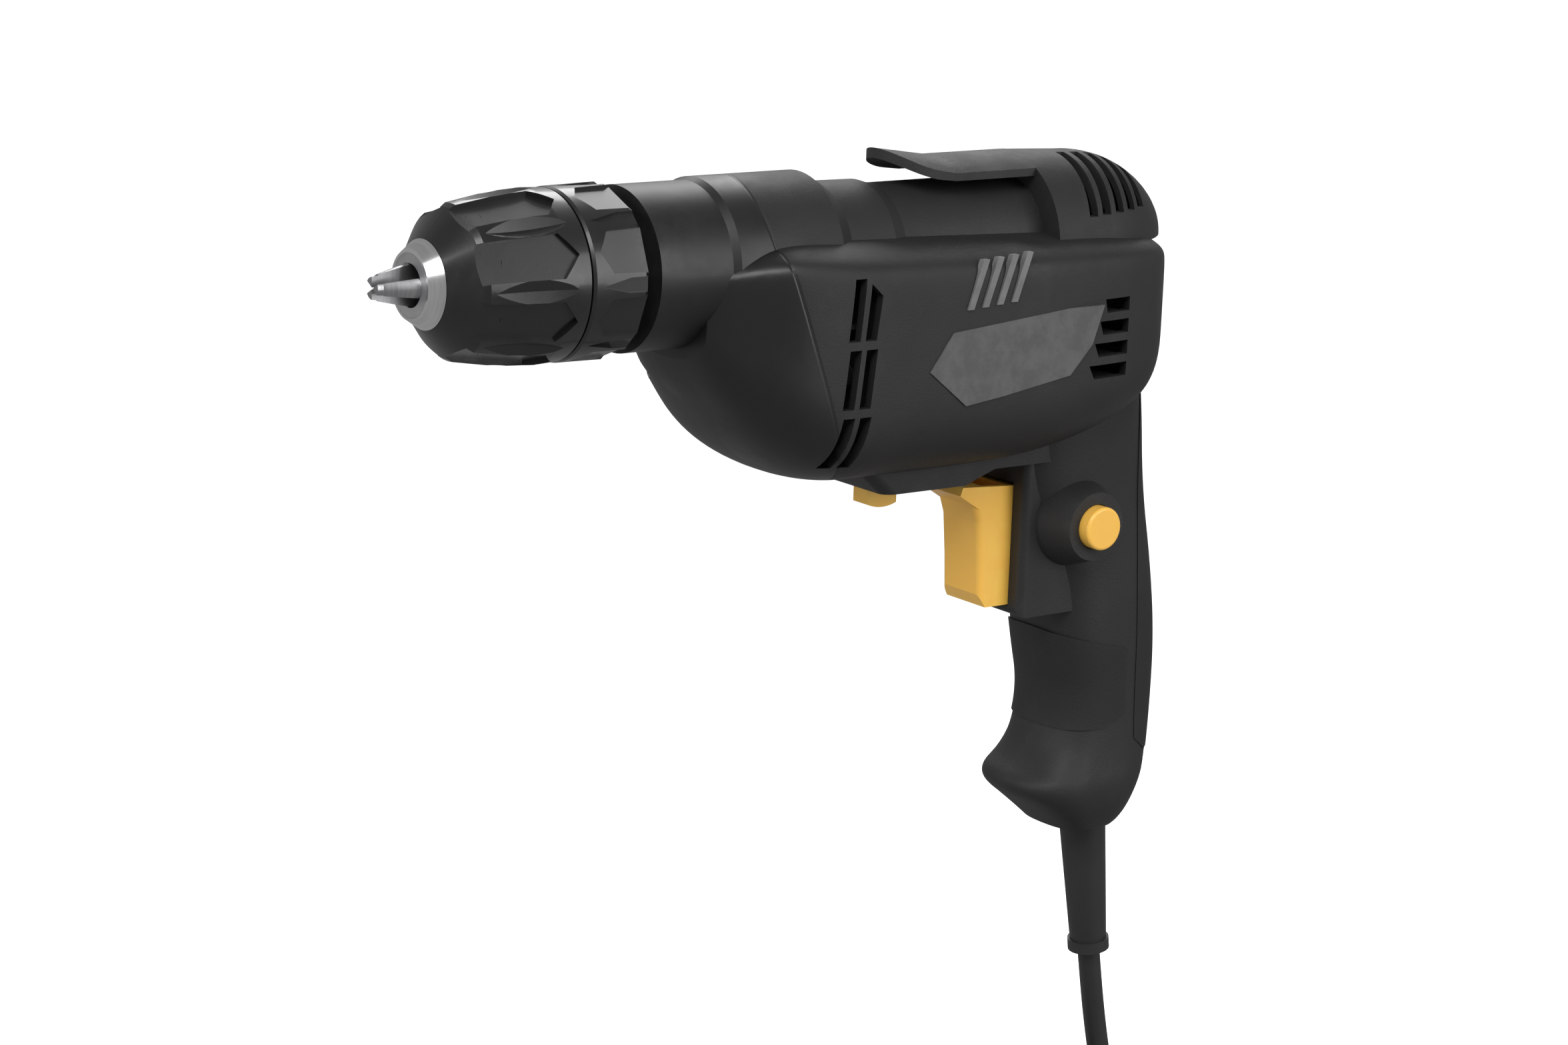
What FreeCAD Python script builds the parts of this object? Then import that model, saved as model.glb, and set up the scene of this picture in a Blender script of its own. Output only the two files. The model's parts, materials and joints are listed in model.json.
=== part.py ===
import FreeCAD, Part
import Sketcher
import math
import os
import re
from FreeCAD import Placement, Rotation, Vector

# A corded pistol drill with a keyless chuck.
# Frame: X runs along the spindle and the chuck points to -X, the user's left side is -Y, Z is up.
# The origin is in the middle of the hand grip, so the spindle axis lies at z = spindle_height.

os.makedirs("parts", exist_ok=True)
doc = FreeCAD.newDocument("mains_drill")
sheet = doc.addObject("Spreadsheet::Sheet", "dims")

DIMENSIONS = (
    ("spindle_height", 95.0, "height of the spindle axis over the grip centre"),
    ("collar_front", -145.2, "front face of the round collar behind the chuck"),
    ("collar_radius", 20.6, "outside of the collar"),
    ("barrel_radius", 21.4, "outside of the gear barrel at its step"),
    ("waist_radius", 16.9, "outside of the top behind the step, under the belt hook"),
    ("hump_radius", 23.3, "outside of the raised rear top and of the belt hook"),
    ("step_place", -91.0, "where the barrel steps down to the waist"),
    ("hump_front", -23.0, "front wall of the raised rear top"),
    ("rear_end", 28.5, "rearmost point of the housing"),
    ("body_width", 66.0, "width of the motor housing"),
    ("body_top", 102.5, "height of the motor housing's shoulders"),
    ("body_bottom", 38.2, "underside of the motor housing"),
    ("wall", 2.4, "wall of the shells"),
    ("hook_tip", -66.0, "front end of the belt hook"),
    ("hook_width", 24.0, "width of the belt hook"),
    ("hook_plate", 1.7, "thickness of the belt hook"),
    ("grip_width", 33.0, "width of the hand grip"),
    ("butt_bottom", -68.5, "lowest point of the hand grip"),
    ("block_front", -22.0, "front face of the housing around the trigger"),
    ("block_bottom", -5.0, "lower lip under the trigger"),
    ("block_width", 27.0, "width of the housing around the trigger"),
    ("chin_bottom", 34.0, "underside of the chin in front of the trigger"),
    ("chin_front", -79.0, "front of the chin"),
    ("chin_width", 32.0, "width of the chin"),
    ("fit", 0.05, "radial running clearance"),
    ("gap", 0.4, "clearance between pieces that move past each other"),
    ("gear_module", 0.7, "tooth module"),
    ("gear_teeth", 49.0, "teeth of the spindle gear"),
    ("pinion_teeth", 7.0, "teeth of the armature pinion"),
    ("gear_front", -115.0, "front face of the spindle gear"),
    ("gear_face", 9.0, "width of the spindle gear"),
    ("spindle_radius", 6.0, "spindle under its front bearing"),
    ("spindle_tail", 5.0, "spindle in its rear bush"),
    ("thread_radius", 4.76, "chuck thread on the spindle"),
    ("front_bearing_place", -142.6, "front face of the spindle bearing"),
    ("plate_front", -104.2, "front face of the gear plate"),
    ("plate_thick", 4.6, "thickness of the gear plate"),
    ("shaft_radius", 3.0, "armature shaft at its rear end"),
    ("shaft_front_radius", 4.0, "armature shaft at its front bearing"),
    ("fan_front", -97.3, "front face of the cooling fan"),
    ("fan_radius", 26.0, "outside of the cooling fan"),
    ("fan_width", 10.5, "width of the cooling fan"),
    ("core_front", -78.0, "front face of the armature core"),
    ("core_length", 38.0, "length of the armature core"),
    ("core_radius", 15.4, "outside of the armature core"),
    ("air_gap", 0.5, "gap between armature and field poles"),
    ("stator_radius", 26.1, "outside of the field core"),
    ("commutator_radius", 11.0, "outside of the commutator"),
    ("commutator_front", -31.0, "front face of the commutator"),
    ("commutator_length", 14.0, "length of the commutator"),
    ("rear_bearing_place", -13.5, "front face of the armature's rear bearing"),
    ("chuck_split", -165.0, "split line between the two chuck sleeves"),
    ("chuck_radius", 21.3, "outside of the chuck sleeves"),
    ("sleeve_front", -199.3, "front edge of the front sleeve"),
    ("chuck_rear", -149.2, "rear face of the chuck"),
    ("jaw_tip", -213.0, "tip of the closed jaws"),
    ("jaw_radius", 3.0, "radius of a jaw"),
    ("jaw_length", 28.0, "length of a jaw along its slope"),
    ("jaw_angle", 15.0, "slope of the jaws against the spindle axis"),
    ("jaw_offset", -0.3, "distance of a jaw's centre from the axis at its tip"),
    ("nut_front", -194.0, "front face of the jaw nut"),
    ("nut_length", 6.0, "length of the jaw nut"),
    ("trigger_width", 16.0, "width of the trigger"),
    ("trigger_travel", 6.0, "travel of the trigger"),
    ("trigger_top", 30.0, "top of the trigger"),
    ("switch_front", -10.0, "front face of the switch"),
    ("switch_back", 13.0, "rear face of the switch"),
    ("switch_width", 20.0, "width of the switch"),
    ("switch_bottom", -2.0, "underside of the switch"),
    ("switch_top", 31.5, "top of the switch"),
    ("button_x", -5.5, "lock button centre along the drill"),
    ("button_z", 20.4, "lock button centre height"),
    ("button_radius", 5.8, "radius of the lock button"),
    ("button_face", -26.8, "outer face of the lock button"),
    ("boss_face", -23.4, "outer face of the ring around the lock button"),
    ("boss_radius", 9.2, "ring around the lock button"),
    ("lever_pivot", -46.5, "pivot of the reversing lever along the drill"),
    ("screw_radius", 1.95, "housing screw thread"),
    ("screw_head", 3.4, "housing screw head"),
    ("screw_seat", 11.0, "distance of the screw heads' seat from the middle plane"),
    ("boss_wall", 3.5, "outside of the screw bosses"),
    ("cord_radius", 3.1, "outside of the mains cord"),
    ("relief_lean", 7.4, "lean of the strain relief to the rear"),
    ("relief_length", 40.0, "strain relief below the butt"),
    ("relief_place", 15.9, "strain relief centre at the butt"),
    ("coil_radius", 35.0, "middle radius of the wound cord"),
    ("coil_thick", 10.0, "radius of the wound cord's bundle"),
    ("pin_radius", 2.4, "plug pin"),
    ("pin_length", 19.0, "plug pin length"),
    ("pin_spread", 19.0, "distance between the plug pins"),
)
NAMES = [entry[0] for entry in DIMENSIONS]
for place, (alias, number, meaning) in enumerate(DIMENSIONS, start=1):
    sheet.set("A%d" % place, meaning)
    sheet.set("B%d" % place, str(number))
    sheet.setAlias("B%d" % place, alias)
doc.recompute()


def size(alias):
    return float(sheet.get(alias))


X_AXIS = Vector(1, 0, 0)
Y_AXIS = Vector(0, 1, 0)
Z_AXIS = Vector(0, 0, 1)
NODES = []


def half_section(poles):
    """Half a section: a smooth curve drawn inside its poles, closed along the middle plane."""
    curve = Part.BSplineCurve()
    curve.buildFromPoles(poles, False, 3)
    return Part.Wire([curve.toShape(), Part.LineSegment(poles[-1], poles[0]).toShape()])


def slab(x0, x1, y0, y1, z0, z1):
    return Part.makeBox(x1 - x0, y1 - y0, z1 - z0, Vector(x0, y0, z0))


def half_of(shape, side):
    """The part of a shape on one side of the middle plane: -1 is the user's left."""
    low, high = (-80, 0) if side < 0 else (0, 80)
    return shape.common(slab(-300, 120, low, high, -150, 200))


def rod(radius, x0, x1, y, z):
    return Part.makeCylinder(radius, x1 - x0, Vector(x0, y, z), X_AXIS)


def turned_solid(outline, height):
    """A solid turned about an axis along X: outline holds (x, radius) pairs."""
    points = [Vector(x, 0, radius + height) for x, radius in outline]
    face = Part.Face(Part.makePolygon(points + points[:1]))
    return face.revolve(Vector(0, 0, height), X_AXIS, 360)


def body_section(x, half_width, top, bottom, side):
    rise = top - bottom
    poles = (
        (0, top),
        (0.50 * half_width, top),
        (0.96 * half_width, top - 0.055 * rise),
        (half_width, top - 0.13 * rise),
        (half_width, top - 0.35 * rise),
        (half_width, top - 0.55 * rise),
        (half_width, bottom + 0.26 * rise),
        (0.84 * half_width, bottom + 0.09 * rise),
        (0.45 * half_width, bottom),
        (0, bottom),
    )
    return half_section([Vector(x, side * across, up) for across, up in poles])


def motor_form(side, skin):
    """Half the motor housing, drawn inward by skin: bulb in front, flat side, narrowing to the rear."""
    wide = size("body_width") / 2
    top = size("body_top")
    low = size("body_bottom")
    front = size("collar_front")
    stations = (
        (front + 16.0, 0.52 * wide, top - 6.0, low + 34.0),
        (front + 21.0, 0.66 * wide, top - 4.0, low + 24.5),
        (front + 28.0, 0.80 * wide, top - 1.5, low + 15.5),
        (front + 36.0, 0.925 * wide, top, low + 7.5),
        (front + 45.0, 0.985 * wide, top, low + 2.6),
        (front + 54.0, wide, top - 0.5, low + 0.4),
        (front + 68.0, wide, top - 1.0, low),
        (front + 92.0, wide, top - 1.8, low),
        (front + 116.0, wide, top - 2.6, low + 1.0),
        (front + 138.0, 0.95 * wide, top - 3.4, low + 5.0),
        (front + 152.0, 0.84 * wide, top - 4.6, low + 10.0),
        (front + 160.0, 0.66 * wide, top - 6.4, low + 16.0),
    )
    last = len(stations) - 1
    wires = []
    for place, (x, half_width, upper, lower) in enumerate(stations):
        inward = skin if place == 0 else (-skin if place == last else 0.0)
        wires.append(body_section(x + inward, half_width - skin, upper - skin, lower + skin, side))
    return Part.makeLoft(wires, True, False, False, 2)


def barrel_form(side, skin):
    """Half the round top about the spindle axis: collar, gear barrel, waist and rear hump."""
    axis = size("spindle_height")
    front = size("collar_front") + skin
    step = size("step_place")
    hump = size("hump_front")
    rear = size("rear_end")
    waist = size("waist_radius")
    outline = (
        (front, 0.0), (front, size("collar_radius") - skin), (front + 21, size("collar_radius") - skin),
        (front + 23, size("barrel_radius") - skin), (step, size("barrel_radius") - skin),
        (step + 5, waist + 1.4 - skin), (step + 19, waist + 1.2 - skin), (step + 23, waist - skin),
        (hump + 8, waist - skin), (hump + 8, 0.0),
    )
    solid = turned_solid(outline, axis)
    high = size("hump_radius")
    start = hump + skin
    points = [
        Vector(start, 0, axis), Vector(start, 0, axis + high - skin),
        Vector(rear - 33.0, 0, axis + high - 0.8 - skin), Vector(rear - 8.5, 0, axis + 0.55 * high - 0.8 * skin),
        Vector(rear - skin, 0, axis),
    ]
    crown = Part.Arc(points[2], points[3], points[4])
    edges = [
        Part.LineSegment(points[0], points[1]).toShape(),
        Part.LineSegment(points[1], points[2]).toShape(),
        crown.toShape(),
        Part.LineSegment(points[4], points[0]).toShape(),
    ]
    dome = Part.Face(Part.Wire(edges)).revolve(Vector(0, 0, axis), X_AXIS, 360)
    upper = slab(start, rear, -high, high, axis + skin, axis + high)
    return half_of(solid.fuse(dome.common(upper)), side)


def grip_section(z, front, back, half_width, side):
    deep = back - front
    poles = (
        (0, front),
        (0.62 * half_width, front),
        (0.98 * half_width, front + 0.16 * deep),
        (half_width, front + 0.42 * deep),
        (half_width, front + 0.66 * deep),
        (0.90 * half_width, front + 0.90 * deep),
        (0.55 * half_width, back),
        (0, back),
    )
    return half_section([Vector(along, side * across, z) for across, along in poles])


def grip_form(side, skin):
    """Half the hand grip, drawn inward by skin: slightly waisted, with a beak and a rounded butt."""
    wide = size("grip_width") / 2
    low = size("butt_bottom")
    stations = (
        (66.0, -26.0, 15.0, 1.30 * wide),
        (42.0, -24.0, 20.6, 1.10 * wide),
        (20.0, -18.0, 24.0, 1.02 * wide),
        (2.0, -9.0, 27.2, wide),
        (-15.0, -5.6, 29.2, wide),
        (-35.0, -2.8, 29.6, 0.97 * wide),
        (-46.0, -6.0, 29.0, wide),
        (-53.5, -13.0, 28.0, 1.06 * wide),
        (-60.0, -9.0, 25.0, 1.03 * wide),
        (low, 1.0, 20.0, 0.72 * wide),
    )
    last = len(stations) - 1
    wires = []
    for place, (z, front, back, half_width) in enumerate(stations):
        inward = -skin if place == 0 else (skin if place == last else 0.0)
        wires.append(grip_section(z + inward, front + skin, back - skin, half_width - skin, side))
    return Part.makeLoft(wires, True, False, False, 2)


def block_form(side, skin):
    """Half the housing around the trigger, in front of the grip."""
    wide = size("block_width") / 2
    front = size("block_front")
    solid = slab(front + skin, 4.0, -wide + skin, wide - skin, size("block_bottom") + skin, 46.0)
    edges = [edge for edge in solid.Edges if edge.BoundBox.XMax < front + skin + 0.01]
    return half_of(solid.makeFillet(2.2 - 0.5 * skin, edges), side)


def chin_form(side, skin):
    """Half the chin under the motor housing that carries the reversing lever."""
    wide = size("chin_width") / 2
    front = size("chin_front") + skin
    low = size("chin_bottom") + skin
    points = [
        Vector(front, 0, 50.0), Vector(front, 0, low + 7), Vector(front + 8, 0, low),
        Vector(front + 34, 0, low), Vector(front + 44, 0, low + 3.5), Vector(front + 70, 0, low + 3.5),
        Vector(front + 70, 0, 50.0),
    ]
    face = Part.Face(Part.makePolygon(points + points[:1]))
    face.translate(Vector(0, -wide + skin, 0))
    solid = face.extrude(Vector(0, 2 * (wide - skin), 0))
    edges = [edge for edge in solid.Edges if edge.BoundBox.XMin < front + 0.01 and edge.Length < 20]
    solid = solid.makeFillet(3.0, [edge for edge in edges if edge.BoundBox.YLength < 0.01])
    return half_of(solid, side)


def hook_form():
    """Belt hook: a crowned plate from the hump forward, its tip turned up and rounded."""
    axis = size("spindle_height")
    high = size("hump_radius")
    plate = size("hook_plate")
    tip = size("hook_tip")
    root = size("hump_front") + 1.0
    outline = (
        (root, high), (tip + 17, high), (tip + 8, high + 1.3), (tip - 1, high + 2.6),
        (tip - 1, high - plate + 1.6), (tip + 8, high - plate + 0.9), (tip + 17, high - plate),
        (root, high - plate),
    )
    ring = turned_solid(outline, axis)
    half = size("hook_width") / 2
    plan = slab(tip + half, root + 1, -half, half, axis, axis + high + 10)
    nose = Part.makeCylinder(half, high + 10, Vector(tip + half, 0, axis), Z_AXIS)
    return ring.common(plan.fuse(nose))


FORMS = (barrel_form, motor_form, grip_form, block_form, chin_form)


def outer_form(side, skin):
    pieces = [form(side, skin) for form in FORMS]
    return pieces[0].fuse(pieces[1:])


def inner_body(side, skin):
    return barrel_form(side, skin).fuse(motor_form(side, skin))


def both_sides(form, skin):
    return form(-1, skin).fuse(form(1, skin)).removeSplitter()


def add_node(label, shape):
    """One sub-part drawn by code, in a feature of its own."""
    item = doc.addObject("Part::Feature", label)
    item.Label = label
    item.Shape = shape
    item.Placement = shape.Placement
    NODES.append(item)
    return shape


def bound(text):
    """An expression in which every dimension's name points at its cell."""
    return re.sub(r"[a-z_]+", lambda word: "dims." + word.group(0) if word.group(0) in NAMES else word.group(0), text)


def turned_body(label, outline, centre="spindle_height"):
    """A piece turned about an axis along X: outline holds (along, radius) expressions from its origin."""
    body = doc.addObject("PartDesign::Body", label)
    body.Label = label
    plane = [item for item in body.Origin.OriginFeatures if item.Role == "XZ_Plane"][0]
    sketch = body.newObject("Sketcher::SketchObject", label + "_outline")
    sketch.AttachmentSupport = [(plane, "")]
    sketch.MapMode = "FlatFace"
    corners = []
    for along, radius in outline:
        corners.append(Vector(sheet.evalExpression(bound(along)), sheet.evalExpression(bound(radius)), 0))
    count = len(corners)
    for place in range(count):
        sketch.addGeometry(Part.LineSegment(corners[place], corners[(place + 1) % count]), False)
    for place in range(count):
        sketch.addConstraint(Sketcher.Constraint("Coincident", place, 2, (place + 1) % count, 1))
    for place, (along, radius) in enumerate(outline):
        row = sketch.addConstraint(Sketcher.Constraint("DistanceX", -1, 1, place, 1, corners[place].x))
        sketch.setExpression("Constraints[%d]" % row, bound(along))
        if corners[place].y == 0:
            sketch.addConstraint(Sketcher.Constraint("PointOnObject", place, 1, -1))
        else:
            row = sketch.addConstraint(Sketcher.Constraint("DistanceY", -1, 1, place, 1, corners[place].y))
            sketch.setExpression("Constraints[%d]" % row, bound(radius))
    turn = body.newObject("PartDesign::Revolution", label + "_turn")
    turn.Profile = sketch
    turn.ReferenceAxis = (sketch, ["H_Axis"])
    turn.Angle = 360
    body.setExpression("Placement.Base.z", bound(centre))
    doc.recompute()
    return body


def prism(outline, y0, y1):
    """An upright outline of (x, z) corners, extruded across the drill."""
    points = [Vector(x, y0, z) for x, z in outline]
    return Part.Face(Part.makePolygon(points + points[:1])).extrude(Vector(0, y1 - y0, 0))


def ring(outer, inner, x0, x1, y, z):
    return rod(outer, x0, x1, y, z).cut(rod(inner, x0 - 1, x1 + 1, y, z))


def cross_rod(radius, x, z, y0, y1):
    return Part.makeCylinder(radius, y1 - y0, Vector(x, y0, z), Y_AXIS)


def spring(wire, radius, length, coils, start, direction):
    """A wound compression spring from start along direction."""
    pitch = (length - 2 * wire) / coils
    helix = Part.makeHelix(pitch, length - 2 * wire, radius)
    circle = Part.Wire(Part.makeCircle(wire, Vector(radius, 0, 0), Y_AXIS))
    coil = Part.Wire(helix).makePipeShell([circle], True, True)
    turn = Rotation(Z_AXIS, direction)
    coil.Placement = Placement(start + direction * wire, turn)
    return coil


SPINDLE = size("spindle_height")
MOTOR = SPINDLE - size("gear_module") * (size("gear_teeth") + size("pinion_teeth")) / 2
WALL = size("wall")
FIT = size("fit")
GAP = size("gap")
HALF_BODY = size("body_width") / 2

# ---------------------------------------------------------------- housing

SCREW_PLACES = (
    (-121.0, 66.5, motor_form), (-78.6, 44.4, motor_form), (-31.0, 45.5, motor_form), (-3.0, 107.5, barrel_form),
    (5.5, 66.0, motor_form), (10.0, -10.5, grip_form), (-2.5, -56.5, grip_form),
)
BADGE = ((-72.0, 69.0), (-65.0, 78.5), (-27.0, 82.0), (-15.5, 82.0), (-19.0, 72.0), (-26.0, 64.5), (-48.0, 61.0),
         (-60.0, 59.5))
BADGE_FLOOR = HALF_BODY - 1.0
ACCENT_COUNT = 4
PAD = ((-16.0, -6.5), (-6.0, -12.0), (6.0, -15.0), (14.0, -17.0), (14.5, -35.0), (8.0, -38.5), (-6.0, -39.0),
       (-16.0, -36.0))
BACK_LINE = 17.0
BACK_BOTTOM = -47.0
BACK_TOP = 62.0
RELIEF_TURN = math.radians(size("relief_lean"))
RELIEF_AXIS = Vector(math.sin(RELIEF_TURN), 0, -math.cos(RELIEF_TURN))
RELIEF_TOP = Vector(size("relief_place"), 0, size("butt_bottom"))
CLAMP_HEIGHT = -52.6
CLAMP_PLACES = (6.4, 21.2)


def along_relief(distance):
    return RELIEF_TOP + RELIEF_AXIS * distance


def relief_rod(radius, first, last):
    return Part.makeCylinder(radius, last - first, along_relief(first), RELIEF_AXIS)


def seats(side):
    """Ribs inside one shell that hold the bearings, the field core, the gear plate, switch and cord."""
    solid_body = inner_body(side, 0.6)
    bearing = size("front_bearing_place")
    rear = size("rear_bearing_place")
    core = size("core_front") - 1
    core_end = core + size("core_length") + 2
    radius = size("stator_radius")
    collar_ring = ring(size("collar_radius") - 1, 14.0, bearing - 0.4, bearing + 8.4, 0, SPINDLE)
    ribs = [half_of(collar_ring, side)]
    for start in (core, core_end - 3):
        ribs.append(solid_body.common(slab(start, start + 3, -50, 50, 30, 130)).cut(rod(radius, -120, 0, 0, MOTOR)))
    bracket = solid_body.common(slab(rear - 0.5, rear + 6.5, -50, 50, MOTOR - 16, MOTOR + 16))
    ribs.append(bracket.cut([rod(9.5, rear, rear + 6, 0, MOTOR), rod(7.0, rear - 2, rear + 9, 0, MOTOR)]))
    plate = size("plate_front")
    lip = size("plate_thick")
    holder = solid_body.common(slab(plate - 2, plate + lip + 1, -50, 50, 30, 130))
    ribs.append(holder.cut([inner_body(side, WALL + 1.2), gear_plate_blank(side)]))
    half = size("switch_width") / 2
    grip = grip_form(side, 0.6).fuse(block_form(side, 0.6))
    for x in (size("switch_front") + 3, size("switch_back") - 5):
        rib = slab(x, x + 2, -30, 30, size("switch_bottom") + 2, size("switch_top") - 2)
        ribs.append(rib.common(grip).cut(slab(x - 1, x + 3, -half, half, -20, 60)))
    lower = slab(size("switch_front") + 2, size("switch_back") - 2, -30, 30, size("switch_bottom") - 2,
                 size("switch_bottom"))
    ribs.append(lower.common(grip))
    collar = relief_rod(9.5, -7.2, -1.2).cut([relief_rod(7.9, -5.4, -3.0), relief_rod(6.1, -8.0, 2.0)])
    ribs.append(collar.common(grip))
    return ribs


def gear_plate_blank(side):
    """Half the plate across the housing between gear and fan: it fits the shells' inside."""
    plate = size("plate_front")
    return inner_body(side, WALL + 0.1).common(slab(plate, plate + size("plate_thick"), -50, 50, 30, 130))


def screw_bosses(side):
    """Posts for the screws: a blind one on the left, one with a deep seat for the head on the right."""
    seat = size("screw_seat")
    bosses = []
    for x, z, form in SCREW_PLACES:
        boss = cross_rod(size("boss_wall"), x, z, -40, 0)
        if side > 0:
            boss = cross_rod(size("boss_wall"), x, z, 0, seat).fuse(
                cross_rod(size("screw_head") + 1.6, x, z, seat - 1.5, 40))
        bosses.append(boss.common(form(side, 0.6)))
    return bosses


def clamp_posts():
    """Two posts on the left shell that carry the cord clamp."""
    posts = []
    for x in CLAMP_PLACES:
        post = cross_rod(2.9, x, CLAMP_HEIGHT, -40, -1.0).common(grip_form(-1, 0.6))
        posts.append(post.fuse(cross_rod(2.9, x, CLAMP_HEIGHT, -1.5, size("cord_radius"))))
    return posts


def vent_cutters(side):
    """Exhaust slots round the fan, four slots at the rear side and five across the rear top."""
    deep = -14.0
    out = -45.0
    cutters = []
    rows = ((78.5, 94.0), (61.5, 76.3), (45.5, 59.3))
    for row, (low, high) in enumerate(rows):
        lean = -0.5 - 1.0 * row
        for x in (-94.3, -89.4):
            trim = 4.5 if (row == 0 and x > -90) else 0.0
            corners = ((x - 1.7 + lean - 1.0, low), (x + 1.7 + lean - 1.0, low), (x + 1.7 + lean + 0.6, high - trim),
                       (x - 1.7 + lean + 0.6, high - trim * 0.3))
            cutters.append(prism(corners, out, deep))
    for step in range(4):
        z = 62.5 + 5.7 * step
        cutters.append(prism(((-17.0 + 1.2 * step, z), (-5.0, z), (-5.0, z + 3.6), (-19.0 + 1.6 * step, z + 3.6)),
                             out, deep))
    for step in range(5):
        x = -9.6 + 4.7 * step
        low = 102.8 + 0.25 * step
        cutters.append(prism(((x - 2.2, low), (x + 0.8, low), (x + 3.4, 121.0), (x + 0.6, 121.0)), -26.0, -3.5))
    if side > 0:
        cutters = [cutter.mirror(Vector(0, 0, 0), Y_AXIS) for cutter in cutters]
    return cutters


def lever_slot():
    pivot = size("lever_pivot")
    return slab(pivot - 22, pivot - 9, -9, 9, size("chin_bottom") - 1, size("chin_bottom") + WALL + 0.2)


def shell_half(side):
    """One housing shell: outer form less its room, with ribs, bosses, vents and recesses."""
    shell = outer_form(side, 0.0).fuse(half_of(hook_form(), side))
    for room in FORMS:
        shell = shell.cut(room(side, WALL))
    shell = shell.fuse(seats(side) + screw_bosses(side))
    x = size("button_x")
    z = size("button_z")
    if side < 0:
        shell = shell.fuse(clamp_posts())
        ring_place = Placement(Vector(x, 0, z), Rotation(Z_AXIS, Vector(0, -1, 0)))
        base = Part.makeCone(size("boss_radius") + 3.5, size("boss_radius"), -size("boss_face") - 13.0)
        base.Placement = ring_place.multiply(Placement(Vector(0, 0, 13.0), Rotation()))
        shell = shell.fuse(base).cut(cross_rod(size("button_radius") + 0.25, x, z, -40, 0))
        shell = shell.cut(cross_rod(size("button_radius") + 1.5, x, z, -20.4, -10.0))
    cuts = [
        rod(size("spindle_radius") + 2.2, -160, -141, 0, SPINDLE),
        slab(size("block_front") - 2, size("block_front") + WALL + GAP, -size("trigger_width") / 2 - GAP,
             size("trigger_width") / 2 + GAP, size("block_bottom") + WALL, size("trigger_top") + 1.0),
        lever_slot(),
        relief_rod(6.75, -4.0, 8.0),
        relief_rod(7.9, -5.4, -3.0),
        relief_rod(6.1, -8.5, 2.0),
    ]
    for sx, sz, form in SCREW_PLACES:
        cuts.append(cross_rod(size("screw_radius"), sx, sz, -10.0, 60.0))
        cuts.append(cross_rod(size("screw_head") + 0.2, sx, sz, size("screw_seat"), 60.0))
    cuts += [cross_rod(1.4, place, CLAMP_HEIGHT, -8.0, 10.0) for place in CLAMP_PLACES]
    cuts += vent_cutters(side)
    cuts.append(prism(BADGE, side * BADGE_FLOOR, side * (HALF_BODY + 4)))
    cuts += accent_bars(side)
    cuts += [pad_solid(side), back_solid(side)]
    return shell.cut(cuts)


def accent_bars(side):
    bars = []
    for step in range(ACCENT_COUNT):
        x = -61.0 + 4.7 * step
        z = 84.0 + 0.35 * step
        outline = ((x, z), (x + 2.0, z), (x + 6.4, z + 12.4), (x + 4.4, z + 12.4))
        bars.append(prism(outline, side * (HALF_BODY - 1.2), side * (HALF_BODY + 0.5)))
    return bars


def pad_solid(side):
    """Soft pad round the front of the grip, standing a little proud of it."""
    return grip_form(side, -0.5).common(prism(PAD, -40, 40)).cut(grip_form(side, 1.3))


def back_solid(side):
    """Soft back of the grip, moulded over one shell."""
    outline = ((BACK_LINE - 3, BACK_TOP), (45, BACK_TOP), (45, BACK_BOTTOM + 6), (24, BACK_BOTTOM),
               (BACK_LINE + 2, BACK_BOTTOM + 4))
    return grip_form(side, -0.25).common(prism(outline, -40, 40)).cut(grip_form(side, 1.4))


for side, name in ((-1, "left"), (1, "right")):
    add_node(name + "_housing", shell_half(side))
    add_node(name + "_badge", prism(BADGE, side * BADGE_FLOOR, side * (HALF_BODY + 0.35)))
    add_node(name + "_accent_bars", Part.makeCompound(accent_bars(side)))
    add_node(name + "_grip_pad", pad_solid(side))
    add_node(name + "_grip_back", back_solid(side))


def housing_screws():
    screws = []
    seat = size("screw_seat")
    for x, z, form in SCREW_PLACES:
        shank = cross_rod(size("screw_radius"), x, z, -10.0, seat + 0.2)
        head = cross_rod(size("screw_head"), x, z, seat, seat + 2.4)
        drive = cross_rod(1.3, x, z, seat + 1.0, seat + 3.0)
        screws.append(shank.fuse(head).cut(drive))
    return Part.makeCompound(screws)


add_node("housing_screws", housing_screws())

# ---------------------------------------------------------------- chuck


def tooled_node(label, blank, cutters):
    """A turned blank less the shapes cut from it."""
    tool = doc.addObject("Part::Feature", label + "_cutters")
    tool.Shape = Part.makeCompound(cutters)
    result = doc.addObject("Part::Cut", label)
    result.Base = blank
    result.Tool = tool
    result.Label = label
    doc.recompute()
    NODES.append(result)
    return result


def turned_node(label, outline, centre="spindle_height"):
    body = turned_body(label, outline, centre)
    NODES.append(body)
    return body


JAW_SLOPE = math.radians(size("jaw_angle"))
JAW_COUNT = 3
CHUCK_AXIS = Vector(0, 0, SPINDLE)


def jaw_turn(place):
    return Rotation(X_AXIS, 360.0 / JAW_COUNT * place + 90.0)


def sloped_rod(radius, first, last):
    """A rod along a jaw's slope, above the spindle axis, from first to last measured from the tip."""
    along = Vector(math.cos(JAW_SLOPE), 0, math.sin(JAW_SLOPE))
    start = Vector(size("jaw_tip"), 0, size("jaw_offset")) + along * first
    return Part.makeCylinder(radius, last - first, start, along)


def placed_about_spindle(shape, rotation):
    copy = shape.copy()
    copy.Placement = Placement(CHUCK_AXIS, rotation)
    return copy


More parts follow.
